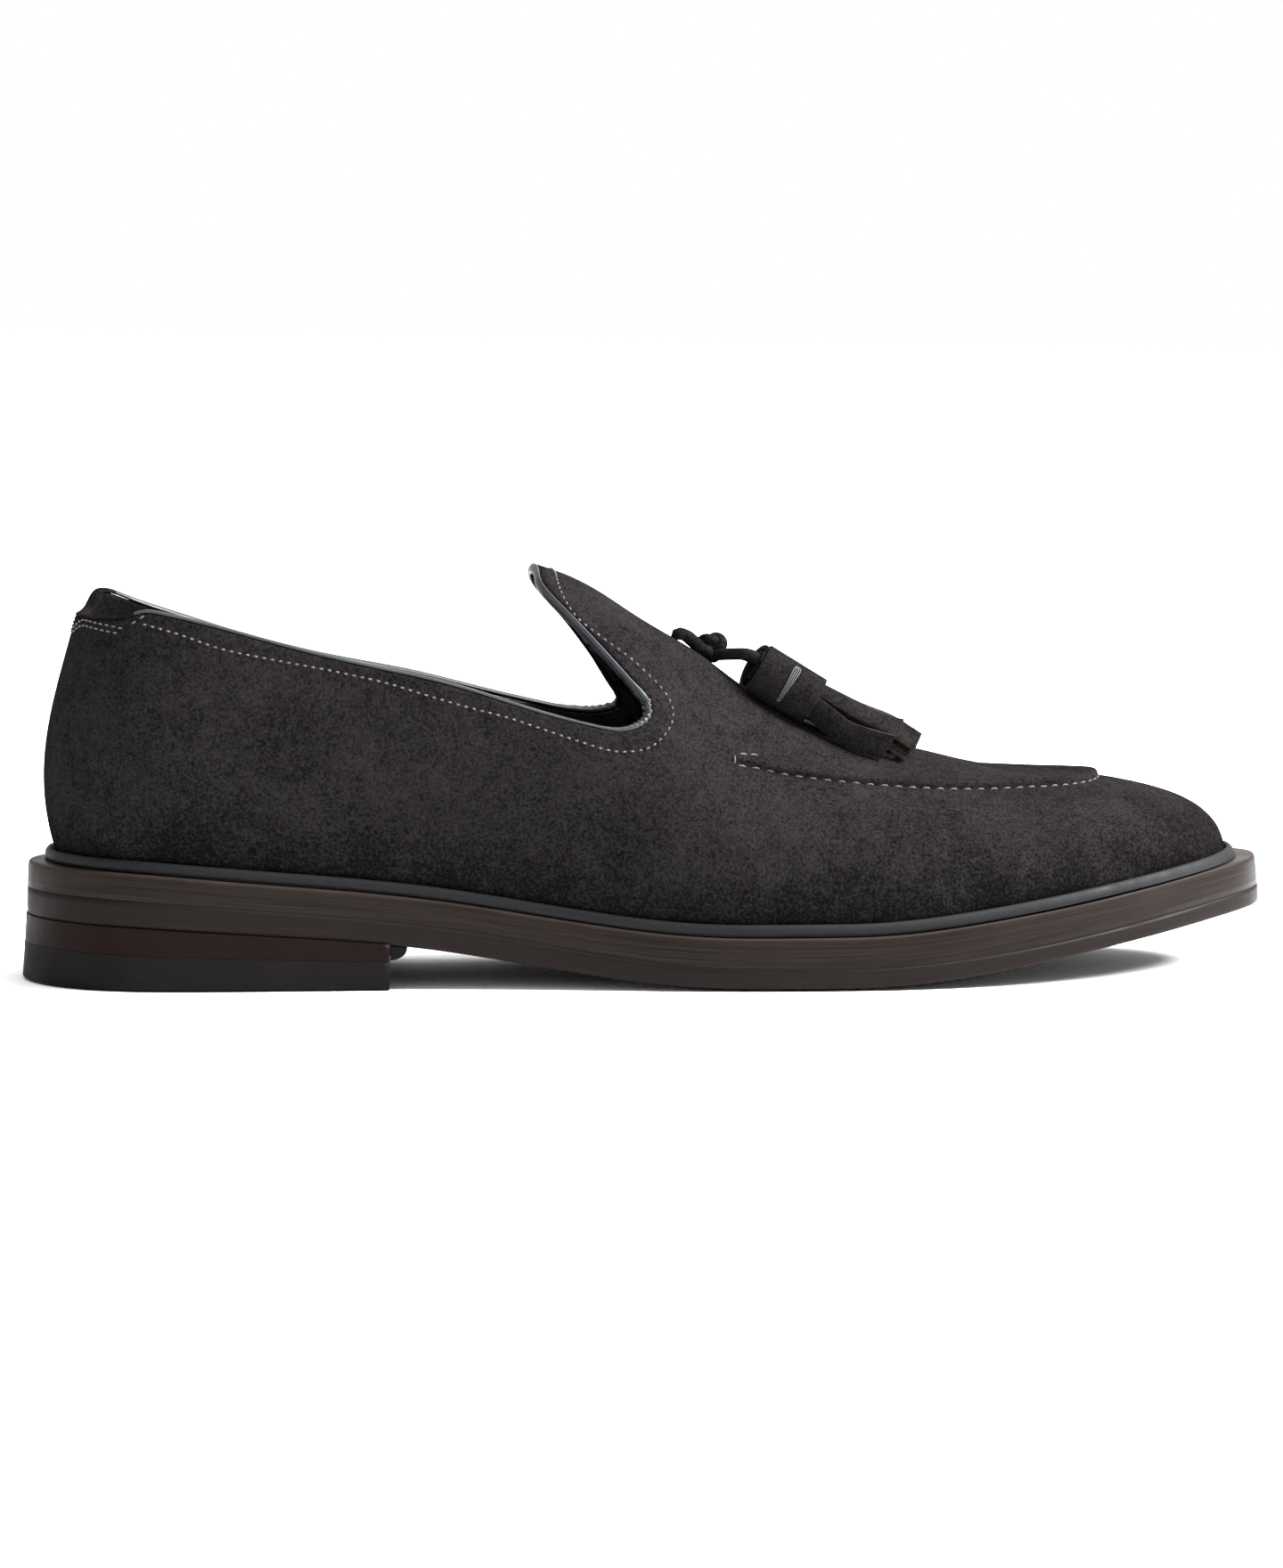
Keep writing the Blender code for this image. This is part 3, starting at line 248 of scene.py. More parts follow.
def rounded(piece, levels, crease_angle, smooth_angle=40):
    """Subdivides a piece, keeps the edges sharper than crease_angle, and shades it smooth."""
    net = bmesh.new()
    net.from_mesh(piece.data)
    creases = net.edges.layers.float.new("crease_edge")
    for edge in net.edges:
        if len(edge.link_faces) == 2 and edge.calc_face_angle() > math.radians(crease_angle):
            edge[creases] = 1.0
    net.to_mesh(piece.data)
    net.free()
    rounding = piece.modifiers.new("rounding", "SUBSURF")
    rounding.levels = levels
    rounding.render_levels = levels
    picked(piece)
    bpy.ops.object.modifier_apply(modifier="rounding")
    bpy.ops.object.shade_smooth_by_angle(angle=math.radians(smooth_angle))
    piece.select_set(False)


def rows_of(mesh, kind="co"):
    """The places of a mesh's vertices, or their normals, as rows of three numbers."""
    rows = np.empty(len(mesh.vertices) * 3)
    mesh.vertices.foreach_get(kind, rows)
    return rows.reshape(-1, 3)


def put_back(mesh, places):
    """Moves a mesh's vertices to new places."""
    mesh.vertices.foreach_set("co", places.ravel())
    mesh.update()


def tree_of(mesh, faces):
    """A tree for finding places on some of a mesh's faces."""
    return BVHTree.FromPolygons([v.co for v in mesh.vertices], [face.vertices for face in faces])


def find_seam(net):
    """Points of the apron's seam in order round the toe: where the skin bends inwards most far out."""
    farthest = {}
    for edge in net.edges:
        if len(edge.link_faces) != 2 or edge.calc_face_angle() < math.radians(SEAM_BEND):
            continue
        one, two = edge.link_faces
        inwards = (two.calc_center_median() - one.calc_center_median()).dot(one.normal) > 0
        if not inwards or one.material_index or two.material_index:
            continue
        for spot in (edge.verts[0].co, edge.verts[1].co):
            if spot.x < SEAM_START or spot.z < SEAM_LOWEST:
                continue
            reach = math.hypot(spot.x - SEAM_START, spot.y)
            step = round(math.degrees(math.atan2(spot.y, spot.x - SEAM_START)) / SEAM_STEP)
            if step not in farthest or reach > farthest[step][0]:
                farthest[step] = (reach, spot.copy())
    found = [farthest[step][1] for step in sorted(farthest)]
    return [one for one in found if one.x > SEAM_FIRST and not any(
        abs(one.x - other.x) < LIP_NEAR and one.y * other.y > 0 and one.z > other.z + LIP_RISE
        for other in found)]


def highest_along(mesh, step):
    """The height of a mesh's top at places along the shoe."""
    places = rows_of(mesh)
    stops = np.arange(places[:, 0].min(), places[:, 0].max() + step, step)
    nearest = np.abs(places[:, 0][:, None] - stops).argmin(axis=1)
    rows = []
    for number, stop in enumerate(stops):
        if (nearest == number).any():
            rows.append((stop, places[nearest == number, 2].max()))
    return np.array(rows)


# Brushed suede: quite matt and softly mottled, with painted shade darkest down by the rand
suede = suede_finish("brushed_suede", SUEDE_LIGHT, SUEDE_DARK, PATCH_WIDTH, FOOT_SHADE)
# Suede set nap inwards as a heel grip: a matt patch that is darker than the outside
heel_suede = suede_finish("suede_heel_grip", HEEL_SUEDE_LIGHT, HEEL_SUEDE_DARK, HEEL_PATCH_WIDTH)
# Glazed calf: nearly black and a little blue, with a soft shine
lining = leather_finish("lining_calf", LINING, 0.42, PORE_WIDTH, LINING_PORE_DEPTH)
upper = taken_from("upper", "upper_skin")
for finish in (suede, lining, heel_suede):
    upper.data.materials.append(finish)
walls = tree_of(upper.data, upper.data.polygons)
for face in upper.data.polygons:
    spot, _, _, far = walls.ray_cast(face.center + face.normal * OFF_SKIN, face.normal)
    axis = Vector((max(face.center.x, AXIS_START), 0, AXIS_HEIGHT))
    turned_in = face.center.x < QUARTER_END and face.normal.dot(axis - face.center) > 0
    if turned_in or (spot is not None and far > OPPOSITE_WALL):
        face.material_index = 2 if face.center.x < HEEL_GRIP_END else 1
net = bmesh.new()
net.from_mesh(upper.data)
seam = find_seam(net)
net.free()
rounded(upper, levels=2, crease_angle=70, smooth_angle=60)
places = rows_of(upper.data)
for x, z, turn, half_length, half_width, depth in CREASES:
    along = math.cos(math.radians(turn))
    up = math.sin(math.radians(turn))
    run = (places[:, 0] - x) * along + (places[:, 2] - z) * up
    off = (places[:, 2] - z) * along - (places[:, 0] - x) * up
    fold = np.exp(-(run / half_length) ** 2 - (off / half_width) ** 2)
    swell = CREASE_SWELL * np.exp(-(run / half_length) ** 2 - ((off - 2 * half_width) / half_width) ** 2)
    places[:, 1] += -np.sign(places[:, 1]) * depth * (fold - swell)
put_back(upper.data, places)
foot_line = highest_along(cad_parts["midsole"].data, FOOT_STEP)
store = upper.data.attributes.new("foot_height", "FLOAT", "POINT")
store.data.foreach_set("value", places[:, 2] - np.interp(places[:, 0], foot_line[:, 0], foot_line[:, 1]))
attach(upper, "root")
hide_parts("upper")

skin = tree_of(upper.data, [face for face in upper.data.polygons if face.material_index == 0])


def seen_at(px, py):
    """Where the line of sight through a point of the photograph meets the suede."""
    across = camera_right * ((px - PICTURE_CENTRE[0]) / PIXELS_PER_METRE)
    down = camera_up * ((PICTURE_CENTRE[1] - py) / PIXELS_PER_METRE)
    sight = (TARGET + across + down - camera_place).normalized()
    return skin.ray_cast(camera_place, sight)[0]


# Stitching
# Waxed polyester thread, sewn by machine: one row round the collar and the tongue, two short rows
# across the back tab, and a hand-laid row along the foot of the apron's lip with a bar at each end.
COLLAR_ROW = (
    (158, 700), (203, 713), (246, 728), (292, 738), (340, 747), (386, 756), (434, 767), (480, 781),
    (525, 794), (571, 806), (616, 821), (652, 833), (682, 842), (704, 844), (730, 839), (749, 821),
    (755, 806), (754, 792), (745, 776), (731, 761), (706, 738), (677, 717), (649, 695), (637, 679),
    (630, 666), (625, 652), (622, 641),
)
TAB_UPPER_ROW = ((92, 696), (103, 698), (112, 700), (121, 702), (131, 704), (139, 706))
TAB_LOWER_ROW = ((92, 702), (105, 705), (113, 707), (122, 709), (133, 711))
TAB_STEP_ROW = ((146, 702), (156, 695), (164, 690))
APRON_BAR = ((824, 847), (825, 859))
APRON_TOP_ROW = ((828, 846.5), (852, 848))
# Each row: from stitch to stitch, one stitch's length, and the thread's thickness
COLLAR_STITCH = (0.0020, 0.0010, 0.00048)
TAB_STITCH = (0.0022, 0.0013, 0.00045)
APRON_STITCH = (0.0037, 0.0022, 0.00048)
BAR_STITCH = (0.0030, 0.0022, 0.00045)
# How far a stitch arches up and how deep it sits, as shares of the thread's thickness
STITCH_ARCH = 0.55
STITCH_SINK = 0.25
THREAD = "#3b3936"
# The apron's thread, painted darker as painted shade under the lip
SHADED_APRON_THREAD = "#2c2b2a"
PLY_PITCH = 0.000698
PLY_DEPTH = 0.0001
BACK_REACH = 0.01
PATH_STEPS = 12
# How much lower the inner side's edge lies than the outer side's, at places along the shoe
INNER_DROP = ((-0.0136, 0.0), (-0.0047, 0.0008), (0.0065, 0.0017), (0.0238, 0.0020), (0.0401, 0.0022),
              (0.0597, 0.0015), (0.0731, 0.0008), (0.0840, 0.0002))


def thread_finish(name, code):
    """Twisted polyester thread: a fine rope pattern with a slight shine."""
    material, shader = surface(name, code, 0.55, Sheen_Weight=0.15)
    place = add(material, "ShaderNodeTexCoord").outputs["Object"]
    # At scale one a diagonal wave repeats every 2 pi / 10 metres
    twist = add(material, "ShaderNodeTexWave",
                {"Scale": 2 * math.pi / 10 / PLY_PITCH, "Distortion": 1.5, "Detail": 1.0},
                {"Vector": place}, bands_direction="DIAGONAL")
    tone = add(material, "ShaderNodeMapRange", {"To Min": 0.6, "To Max": 1.2},
               {"Value": twist.outputs[1]})
    shaded = add(material, "ShaderNodeVectorMath", {0: linear(code)[:3]}, {1: tone.outputs[0]},
                 operation="MULTIPLY")
    bump = add(material, "ShaderNodeBump", {"Strength": 0.6, "Distance": PLY_DEPTH},
               {"Height": twist.outputs[1]})
    feed(material, shader, Base_Color=shaded.outputs[0], Normal=bump.outputs[0])
    return material


def smooth_path(points, spacing):
    """Points spaced evenly along a smooth line through the given ones."""
    points = np.array([tuple(point) for point in points])
    if len(points) > 2:
        ends = np.concatenate([[2 * points[0] - points[1]], points, [2 * points[-1] - points[-2]]])
        dense = []
        for a, b, c, d in zip(ends, ends[1:], ends[2:], ends[3:]):
            for t in np.linspace(0, 1, PATH_STEPS, endpoint=False):
                dense.append(0.5 * (2 * b + (c - a) * t + (2 * a - 5 * b + 4 * c - d) * t ** 2
                                    + (3 * b - a - 3 * c + d) * t ** 3))
        points = np.array(dense + [points[-1]])
    run = np.concatenate([[0], np.cumsum(np.linalg.norm(np.diff(points, axis=0), axis=1))])
    count = max(2, int(round(run[-1] / spacing)) + 1)
    wanted = np.linspace(0, run[-1], count)
    return np.stack([np.interp(wanted, run, points[:, axis]) for axis in range(3)], axis=1)


def stitch_model(thickness, length):
    """One stitch: a short thread that rises out of its hole and dips into the next."""
    bpy.ops.mesh.primitive_uv_sphere_add(segments=8, ring_count=7, radius=0.5)
    model = bpy.context.object
    places = rows_of(model.data)[:, [2, 1, 0]]
    fullness = (1 - (2 * places[:, 0]) ** 4).clip(0.15) ** 0.5
    ring = np.hypot(places[:, 1], places[:, 2]).clip(1e-6)
    places[:, 1:] *= (0.5 * fullness / np.maximum(ring, 0.2))[:, None]
    arch = (1 - (2 * places[:, 0]) ** 2) * STITCH_ARCH - STITCH_SINK
    shape = np.stack([places[:, 0] * length, places[:, 1] * thickness,
                      (places[:, 2] + arch) * thickness], axis=1)
    faces = [tuple(reversed(face.vertices)) for face in model.data.polygons]
    bpy.data.objects.remove(model)
    return shape, faces


def new_piece(name, vertices, faces):
    """A new object made of the given points and faces."""
    mesh = bpy.data.meshes.new(name)
    mesh.from_pydata(vertices, [], faces)
    piece = bpy.data.objects.new(name, mesh)
    bpy.context.collection.objects.link(piece)
    return piece


def sewn(name, rows, stitch, material, ground):
    """Copies of one stitch laid along rows on a surface, joined in one piece."""
    pitch, length, thickness = stitch
    shape, faces = stitch_model(thickness, length)
    vertices = []
    polygons = []
    for row in rows:
        stops = smooth_path(row, pitch)
        for start, end in zip(stops, stops[1:]):
            spot, normal, _, _ = ground.find_nearest(Vector((start + end) / 2))
            along = Vector(end - start)
            along = (along - normal * along.dot(normal)).normalized()
            turn = np.array([along, normal.cross(along), normal])
            polygons += [[index + len(vertices) for index in face] for face in faces]
            vertices += [tuple(place) for place in shape @ turn + np.array(spot)]
    piece = new_piece(name, vertices, polygons)
    piece.data.materials.append(material)
    piece.data.shade_smooth()
    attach(piece, "root")
    return piece


def on_both_sides(row, join_end):
    """A row seen on the outer side, and the same on the inner side, joined across the shoe."""
    drops = np.array(INNER_DROP)
    near = [seen_at(*spot) for spot in row]
    far = []
    for spot in near:
        lower = float(np.interp(spot.x, drops[:, 0], drops[:, 1]))
        far.append(skin.find_nearest(Vector((spot.x, -spot.y, spot.z - lower)))[0])
    if join_end:
        return [near + far[::-1]]
    return [near, far]


def across_back(row):
    """A row that runs round the back of the heel from side to side."""
    near = [seen_at(*spot) for spot in row]
    far = [skin.find_nearest(Vector((spot.x, -spot.y, spot.z)))[0] for spot in near]
    middle = skin.find_nearest(Vector((near[0].x - BACK_REACH, 0, near[0].z)))[0]
    return near[::-1] + [middle] + far


# Grey thread: pale dashes on the dark suede
thread = thread_finish("grey_thread", THREAD)
# The grey thread painted darker, so it shows less: painted shade on the row half hidden under the apron's
# lip
shaded_apron_thread = thread_finish("shaded_apron_thread", SHADED_APRON_THREAD)
tab_rows = [across_back(TAB_UPPER_ROW), across_back(TAB_LOWER_ROW)] + on_both_sides(TAB_STEP_ROW, False)
bars = on_both_sides(APRON_BAR, False)
bar_rows = bars + on_both_sides(APRON_TOP_ROW, False)
seam_row = [bars[0][1], *seam, bars[1][1]]
collar_stitches = sewn("collar_stitches", on_both_sides(COLLAR_ROW, True), COLLAR_STITCH, thread, skin)
tab_stitches = sewn("tab_stitches", tab_rows, TAB_STITCH, thread, skin)
apron_stitches = sewn("apron_stitches", [seam_row], APRON_STITCH, shaded_apron_thread, skin)
apron_bars = sewn("apron_bars", bar_rows, BAR_STITCH, thread, skin)

# Collar binding
# A narrow strip of smooth blue-grey leather, folded over the raw edge of suede and lining and
# turned under. Where it goes round the tight curve of the throat it gathers into small pleats.
BINDING = "#151a1d"
BINDING_PORE_WIDTH = 0.0009
BINDING_PORE_DEPTH = 0.00005
TAB_END = -0.0175
THROAT_CENTRE = (0.100, 0.071)
THROAT_RADIUS = 0.009
PLEAT_RADIUS = 0.0095
PLEAT_LEAN = 0.6
PLEAT_REACH = 0.013
PLEAT_PITCH = 0.0015
PLEAT_DEPTH = 0.00022
PLEAT_SWELL = 0.00045
FOLDED_OVER = 0.00015

# Glazed calf: a thin blue-grey line that catches the light more than the suede beside it
binding_leather = leather_finish("binding_calf", BINDING, 0.45, BINDING_PORE_WIDTH, BINDING_PORE_DEPTH,
                                 Specular_IOR_Level=0.4)
binding = taken_from("collar_binding", "collar_edge")
binding.data.materials.append(binding_leather)
binding.data.materials.append(heel_suede)
# Behind the back tab the binding is painted darker with the heel suede: painted shade
for face in binding.data.polygons:
    if face.center.x < TAB_END:
        face.material_index = 1
rounded(binding, levels=2, crease_angle=80, smooth_angle=60)
places = rows_of(binding.data)
off = places[:, [0, 2]] - np.array(THROAT_CENTRE)
reach = np.hypot(off[:, 0], off[:, 1])
turn = np.arctan2(off[:, 1], off[:, 0])
gather = np.clip(1 - np.abs(reach - THROAT_RADIUS) / PLEAT_REACH, 0, 1) * np.cos(turn + PLEAT_LEAN).clip(0)
wave = np.cos(turn * PLEAT_RADIUS / PLEAT_PITCH * 2 * math.pi)
ripple = (wave * PLEAT_DEPTH + PLEAT_SWELL) * gather + FOLDED_OVER
put_back(binding.data, places + rows_of(binding.data, "normal") * ripple[:, None])
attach(binding, "root")
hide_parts("collar_binding")

# Insole
# A thin board covered with a smooth leather sock, glued in. Its edge is dark and slightly dished.
SOCK = "#15151a"
SOCK_PORE_DEPTH = 0.00010

insole = taken_from("insole", "insole_sock")
# Plain calf: dark, with a dull shine and fine pores
insole.data.materials.append(leather_finish("sock_calf", SOCK, 0.45, PORE_WIDTH, SOCK_PORE_DEPTH))
rounded(insole, levels=1, crease_angle=40)
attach(insole, "root")
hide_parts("insole")

# Rand
# A moulded strip of smooth rubber, laid round the foot of the upper and glued down on the sole's
# edge. It is nearly black, a little blue, and shines more than the sole.
RAND = "#111113"
RAND_DULLNESS = (0.50, 0.70)
RAND_WAVE = 0.00714
RAND_WAVE_DEPTH = 0.0003

# Moulded rubber: a low, uneven gloss from its slightly wavy surface
rand_rubber, rand_shader = surface("rand_rubber", RAND, RAND_DULLNESS[0], Specular_IOR_Level=0.10)
place = add(rand_rubber, "ShaderNodeTexCoord").outputs["Object"]
smears = add(rand_rubber, "ShaderNodeTexNoise", {"Scale": 1 / RAND_WAVE, "Detail": 4.0}, {"Vector": place})
dull = add(rand_rubber, "ShaderNodeMapRange",
           {"From Min": 0.3, "From Max": 0.7, "To Min": RAND_DULLNESS[0], "To Max": RAND_DULLNESS[1]},
           {"Value": smears.outputs[0]})
waves = add(rand_rubber, "ShaderNodeBump", {"Strength": 0.35, "Distance": RAND_WAVE_DEPTH},
            {"Height": smears.outputs[0]})
feed(rand_rubber, rand_shader, Roughness=dull.outputs[0], Normal=waves.outputs[0])
rand = taken_from("rand", "rand_strip")
rand.data.materials.append(rand_rubber)
rounded(rand, levels=1, crease_angle=60, smooth_angle=50)
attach(rand, "root")
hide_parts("rand")

# Sole
# Two boards glued on each other, trimmed to one edge on a wheel, stained nearly black and waxed.
# The edge keeps fine lines along it, and its upper rim is a little paler with a painted highlight.
MIDSOLE_EDGE = "#100c0b"
MIDSOLE_RIM_HIGHLIGHT = "#322b27"
OUTSOLE_EDGE = "#120e0d"
OUTSOLE_LINES = "#1e1816"
LINE_WIDTH = 0.0004
LINE_LENGTH = 0.040
LINE_DEPTH = 0.0002
SMEAR_WIDTH = 0.01667
SMEAR_DEPTH = 0.0006
# How deep under the sole's upper face the painted highlight on the rim reaches, and a depth for none
RIM_HIGHLIGHT_DEPTH = 0.0013
NO_RIM_HIGHLIGHT = 0.0001
# How far a board's lower face moves to meet the next, and how far up or down a face must look to move
GLUE_LINE = 0.00022
FACE_TURN = 0.25
EDGE_STEP = 0.003


def edge_finish(name, code, pale, roughness, highlight_depth):
    """Trimmed and waxed sole edge: long fine lines along the sole, smears of wax and a painted rim
    highlight.
    """
    material, shader = surface(name, code, roughness, Specular_IOR_Level=0.05)
    place = add(material, "ShaderNodeAttribute", attribute_name="edge_place").outputs["Vector"]
    stretched = add(material, "ShaderNodeMapping",
                    {"Scale": (1 / LINE_LENGTH, 1 / LINE_LENGTH, 1 / LINE_WIDTH)}, {"Vector": place})
    lines = add(material, "ShaderNodeTexNoise", {"Scale": 1.0, "Detail": 3.0, "Roughness": 0.6},
                {"Vector": stretched.outputs[0]})
    smears = add(material, "ShaderNodeTexNoise",
                 {"Scale": 1 / SMEAR_WIDTH, "Detail": 3.0, "Distortion": 0.5}, {"Vector": place})
    depth = add(material, "ShaderNodeSeparateXYZ", {}, {0: place}).outputs[2]
    # Painted highlight: paler down to a depth under the sole's upper face
    rim_highlight = add(material, "ShaderNodeMapRange",
              {"From Min": highlight_depth, "From Max": 0.0, "To Min": 0.0, "To Max": 0.75},
              {"Value": depth}, clamp=True)
    streak = add(material, "ShaderNodeMapRange",
                 {"From Min": 0.35, "From Max": 0.7, "To Min": 0.0, "To Max": 0.3},
                 {"Value": lines.outputs[0]}, clamp=True)
    mix = add(material, "ShaderNodeMath", {}, {0: rim_highlight.outputs[0], 1: streak.outputs[0]},
              operation="MAXIMUM")
    colour = add(material, "ShaderNodeMix", {6: linear(code), 7: linear(pale)}, {0: mix.outputs[0]},
                 data_type="RGBA")
    dull = add(material, "ShaderNodeMapRange",
               {"From Min": 0.3, "From Max": 0.7, "To Min": roughness - 0.08, "To Max": roughness + 0.14},
               {"Value": smears.outputs[0]})
    bump = add(material, "ShaderNodeBump", {"Strength": 0.35, "Distance": LINE_DEPTH},
               {"Height": lines.outputs[0]})
    bump = add(material, "ShaderNodeBump", {"Strength": 0.25, "Distance": SMEAR_DEPTH},
               {"Height": smears.outputs[0], "Normal": bump.outputs[0]})
    feed(material, shader, Base_Color=colour.outputs[2], Roughness=dull.outputs[0],
         Normal=bump.outputs[0])
    return material


def meet(piece, lower, higher):
    """Moves a board's lower and upper face so that glued boards meet, and none sinks in the floor."""
    places = rows_of(piece.data)
    facing = rows_of(piece.data, "normal")[:, 2]
    places[:, 2] += np.where(facing > FACE_TURN, higher, 0) - np.where(facing < -FACE_TURN, lower, 0)
    places[:, 2] = places[:, 2].clip(0)
    put_back(piece.data, places)


def mark_depth(piece, top):
    """Keeps for the edge pattern how far each point lies under the sole's upper face."""
    marked = rows_of(piece.data)
    marked[:, 2] = np.interp(marked[:, 0], top[:, 0], top[:, 1]) - marked[:, 2]
    store = piece.data.attributes.new("edge_place", "FLOAT_VECTOR", "POINT")
    store.data.foreach_set("vector", marked.ravel())


midsole = taken_from("midsole", "midsole_board")
# Waxed leather board: dark brown with a painted highlight on its upper rim and a quiet shine
midsole.data.materials.append(
    edge_finish("waxed_midsole_edge", MIDSOLE_EDGE, MIDSOLE_RIM_HIGHLIGHT, 0.42, RIM_HIGHLIGHT_DEPTH))
outsole = taken_from("outsole", "outsole_board")
# The same finish without the painted highlight on the rim, and a little duller
outsole.data.materials.append(
    edge_finish("waxed_outsole_edge", OUTSOLE_EDGE, OUTSOLE_LINES, 0.48, NO_RIM_HIGHLIGHT))
for piece in (midsole, outsole):
    rounded(piece, levels=2, crease_angle=60, smooth_angle=50)
    meet(piece, lower=GLUE_LINE, higher=0)
sole_line = highest_along(midsole.data, EDGE_STEP)
for piece, node, slot in ((midsole, "midsole", "midsole_leather"), (outsole, "outsole", "outsole_rubber")):
    mark_depth(piece, sole_line)
    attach(piece, "root")
    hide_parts(node)

# Heel
# Leather lifts glued in a stack, reddish where the stain is thin, on a rubber top piece that takes
# the wear. A small quarter-round bead fills the corner where the heel meets the waist.
LIFT_EDGE = "#0c0504"
LIFT_LINES = "#1b0a08"
TOP_PIECE = "#0c0a0a"
TOP_PIECE_LINES = "#151112"
BEAD = "#0d0c0c"
BEAD_LINES = "#181616"
LIFT_REACH = 0.0007

heel_stack = taken_from("heel_stack", "heel_lifts")
# Stained leather lifts: a dull red-brown
heel_stack.data.materials.append(edge_finish("stained_lift_edge", LIFT_EDGE, LIFT_LINES, 0.48, NO_RIM_HIGHLIGHT))
top_piece = taken_from("top_piece", "heel_top_piece")
# Moulded rubber, trimmed with the heel: black and duller than the leather over it
top_piece.data.materials.append(edge_finish("rubber_top_piece", TOP_PIECE, TOP_PIECE_LINES, 0.58, NO_RIM_HIGHLIGHT))
heel_bead = taken_from("heel_cove", "heel_bead")
# Extruded rubber: black with a slight shine
heel_bead.data.materials.append(edge_finish("rubber_bead", BEAD, BEAD_LINES, 0.40, NO_RIM_HIGHLIGHT))
for piece, node, slot, levels in ((heel_stack, "heel_stack", "heel_leather", 2),
                                  (top_piece, "top_piece", "top_piece_rubber", 2),
                                  (heel_bead, "heel_cove", "top_piece_rubber", 1)):
    rounded(piece, levels, crease_angle=40)
    if piece is heel_stack:
        meet(piece, lower=GLUE_LINE, higher=LIFT_REACH)
    mark_depth(piece, sole_line)
    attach(piece, "root")
    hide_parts(node)

# Tassels
# A strip of suede, cut into a fringe and rolled up tight, then wrapped in a band that is sewn
# through with a few turns of thread. The fringe fans out under its own weight on the vamp.
SOLE_LENGTH = 0.311
HALF_BALL = 0.05375
HEEL_CENTRE = 0.042
TASSEL_LIGHT = "#1d1b1b"
TASSEL_DARK = "#0a090a"
CUT_LIGHT = "#34302c"
CUT_DARK = "#1f1c1a"
TASSEL_THREAD = "#24282b"
TASSEL_PATCH_WIDTH = 0.008
CUT_PATCH_WIDTH = 0.004
HEAD_LENGTH = 0.0172
HEAD_RADIUS = 0.0061
# The band: the turn where it starts, its turns, how far one turn lies over the last, its wall, how
# much thinner the head is at its front, and how far the roll looks out of it behind
BAND_START = -2.2
BAND_TURNS = 1.04
BAND_LAP = 0.0007
BAND_THICKNESS = 0.0013
BAND_TAPER = 0.00025
BAND_SETBACK = 0.0009
ROLL_TURNS = 3.2
ROLL_CORE = 0.0006
ROLL_THICKNESS = 0.0010
ROLL_SETBACK = 0.0001
ROLL_MIDDLE = 0.006
ROLL_SHORT = 0.001
# The fringe: each strip's size, how far it reaches back into the roll, and how far it waves
STRIP_LENGTH = 0.0270
STRIP_WIDTH = 0.0068
STRIP_THICKNESS = 0.0013
STRIP_ROOT = 0.0060
STRIP_WAVE = 0.0005
CUT_BEVEL = 0.0002
STRIP_BEVEL = 0.00022
# How far the fringe's tips aim into the vamp, so that it bends on it, and how close suede may come
TIPS_LIFT = -0.0014
CLEARANCE = 0.0003
# Each strip: turn round the roll at its root and at its tip, how deep in the roll it starts, how
# far its tip moves sideways and up, as shares of its length, and that length
STRIPS = (
    (22, 34, 0.67, 0.03, 0.155, 1.00), (109, 97, 0.67, 0.25, -0.160, 0.86),
    (197, 186, 0.67, -0.03, -0.125, 0.93), (284, 302, 0.67, -0.20, 0.030, 0.96),
    (58, 30, 0.43, 0.00, 0.088, 0.99), (238, 214, 0.43, -0.09, -0.040, 0.95),
    (345, 384, 0.22, 0.02, 0.020, 0.97),
)
# The sewn thread: from which turn to which it shows, how far from the band's end it lies, how far
# it slants, how far its strands stand apart, and one strand's radius
SEWN_FROM = 0.52
SEWN_TO = 2.38
SEWN_PLACE = 0.0093
SEWN_SLANT = 0.0003
SEWN_STRANDS = 4
STRAND_SPACING = 0.00064
STRAND_RADIUS = 0.00017
STRAND_RISE = 0.0001
STRAND_SINK = 0.0006
# Each tassel: where its rolled end and its strips' tips lie, along the sole's length and across half
# the ball's width
TASSELS = (("tassel_outer", 0.5740, -0.222, 0.7130, -0.345), ("tassel_inner", 0.5840, 0.160, 0.7150, 0.300))


def along_sole(share):
    """Place along the shoe at a share of the sole's length."""
    return share * SOLE_LENGTH - HEEL_CENTRE


def above_vamp(x, y, lift):
    """Point that clears the vamp by lift, square to it."""
    spot, normal, _, _ = skin.ray_cast(Vector((x, y, 0.2)), Vector((0, 0, -1)))
    return np.array([x, y, spot.z + (lift + CLEARANCE) / abs(normal.z)])


def unit(vector):
    """A vector of length one."""
    return vector / np.linalg.norm(vector)


def cleared(ring):
    """A section lifted so far that all of it clears the vamp."""
    short = [above_vamp(x, y, CLEARANCE * 0.5)[2] - z for x, y, z in ring]
    return ring + np.array([0, 0, max(0, *short)])


def lofted(name, rings, closed):
    """A surface through rows of points, closed round each row or left open."""
    count = len(rings[0])
    vertices = [tuple(place) for ring in rings for place in ring]
    faces = []
    for row in range(len(rings) - 1):
        for column in range(count if closed else count - 1):
            after = (column + 1) % count
            faces.append((row * count + column, row * count + after,
                          (row + 1) * count + after, (row + 1) * count + column))
    return new_piece(name, vertices, faces)


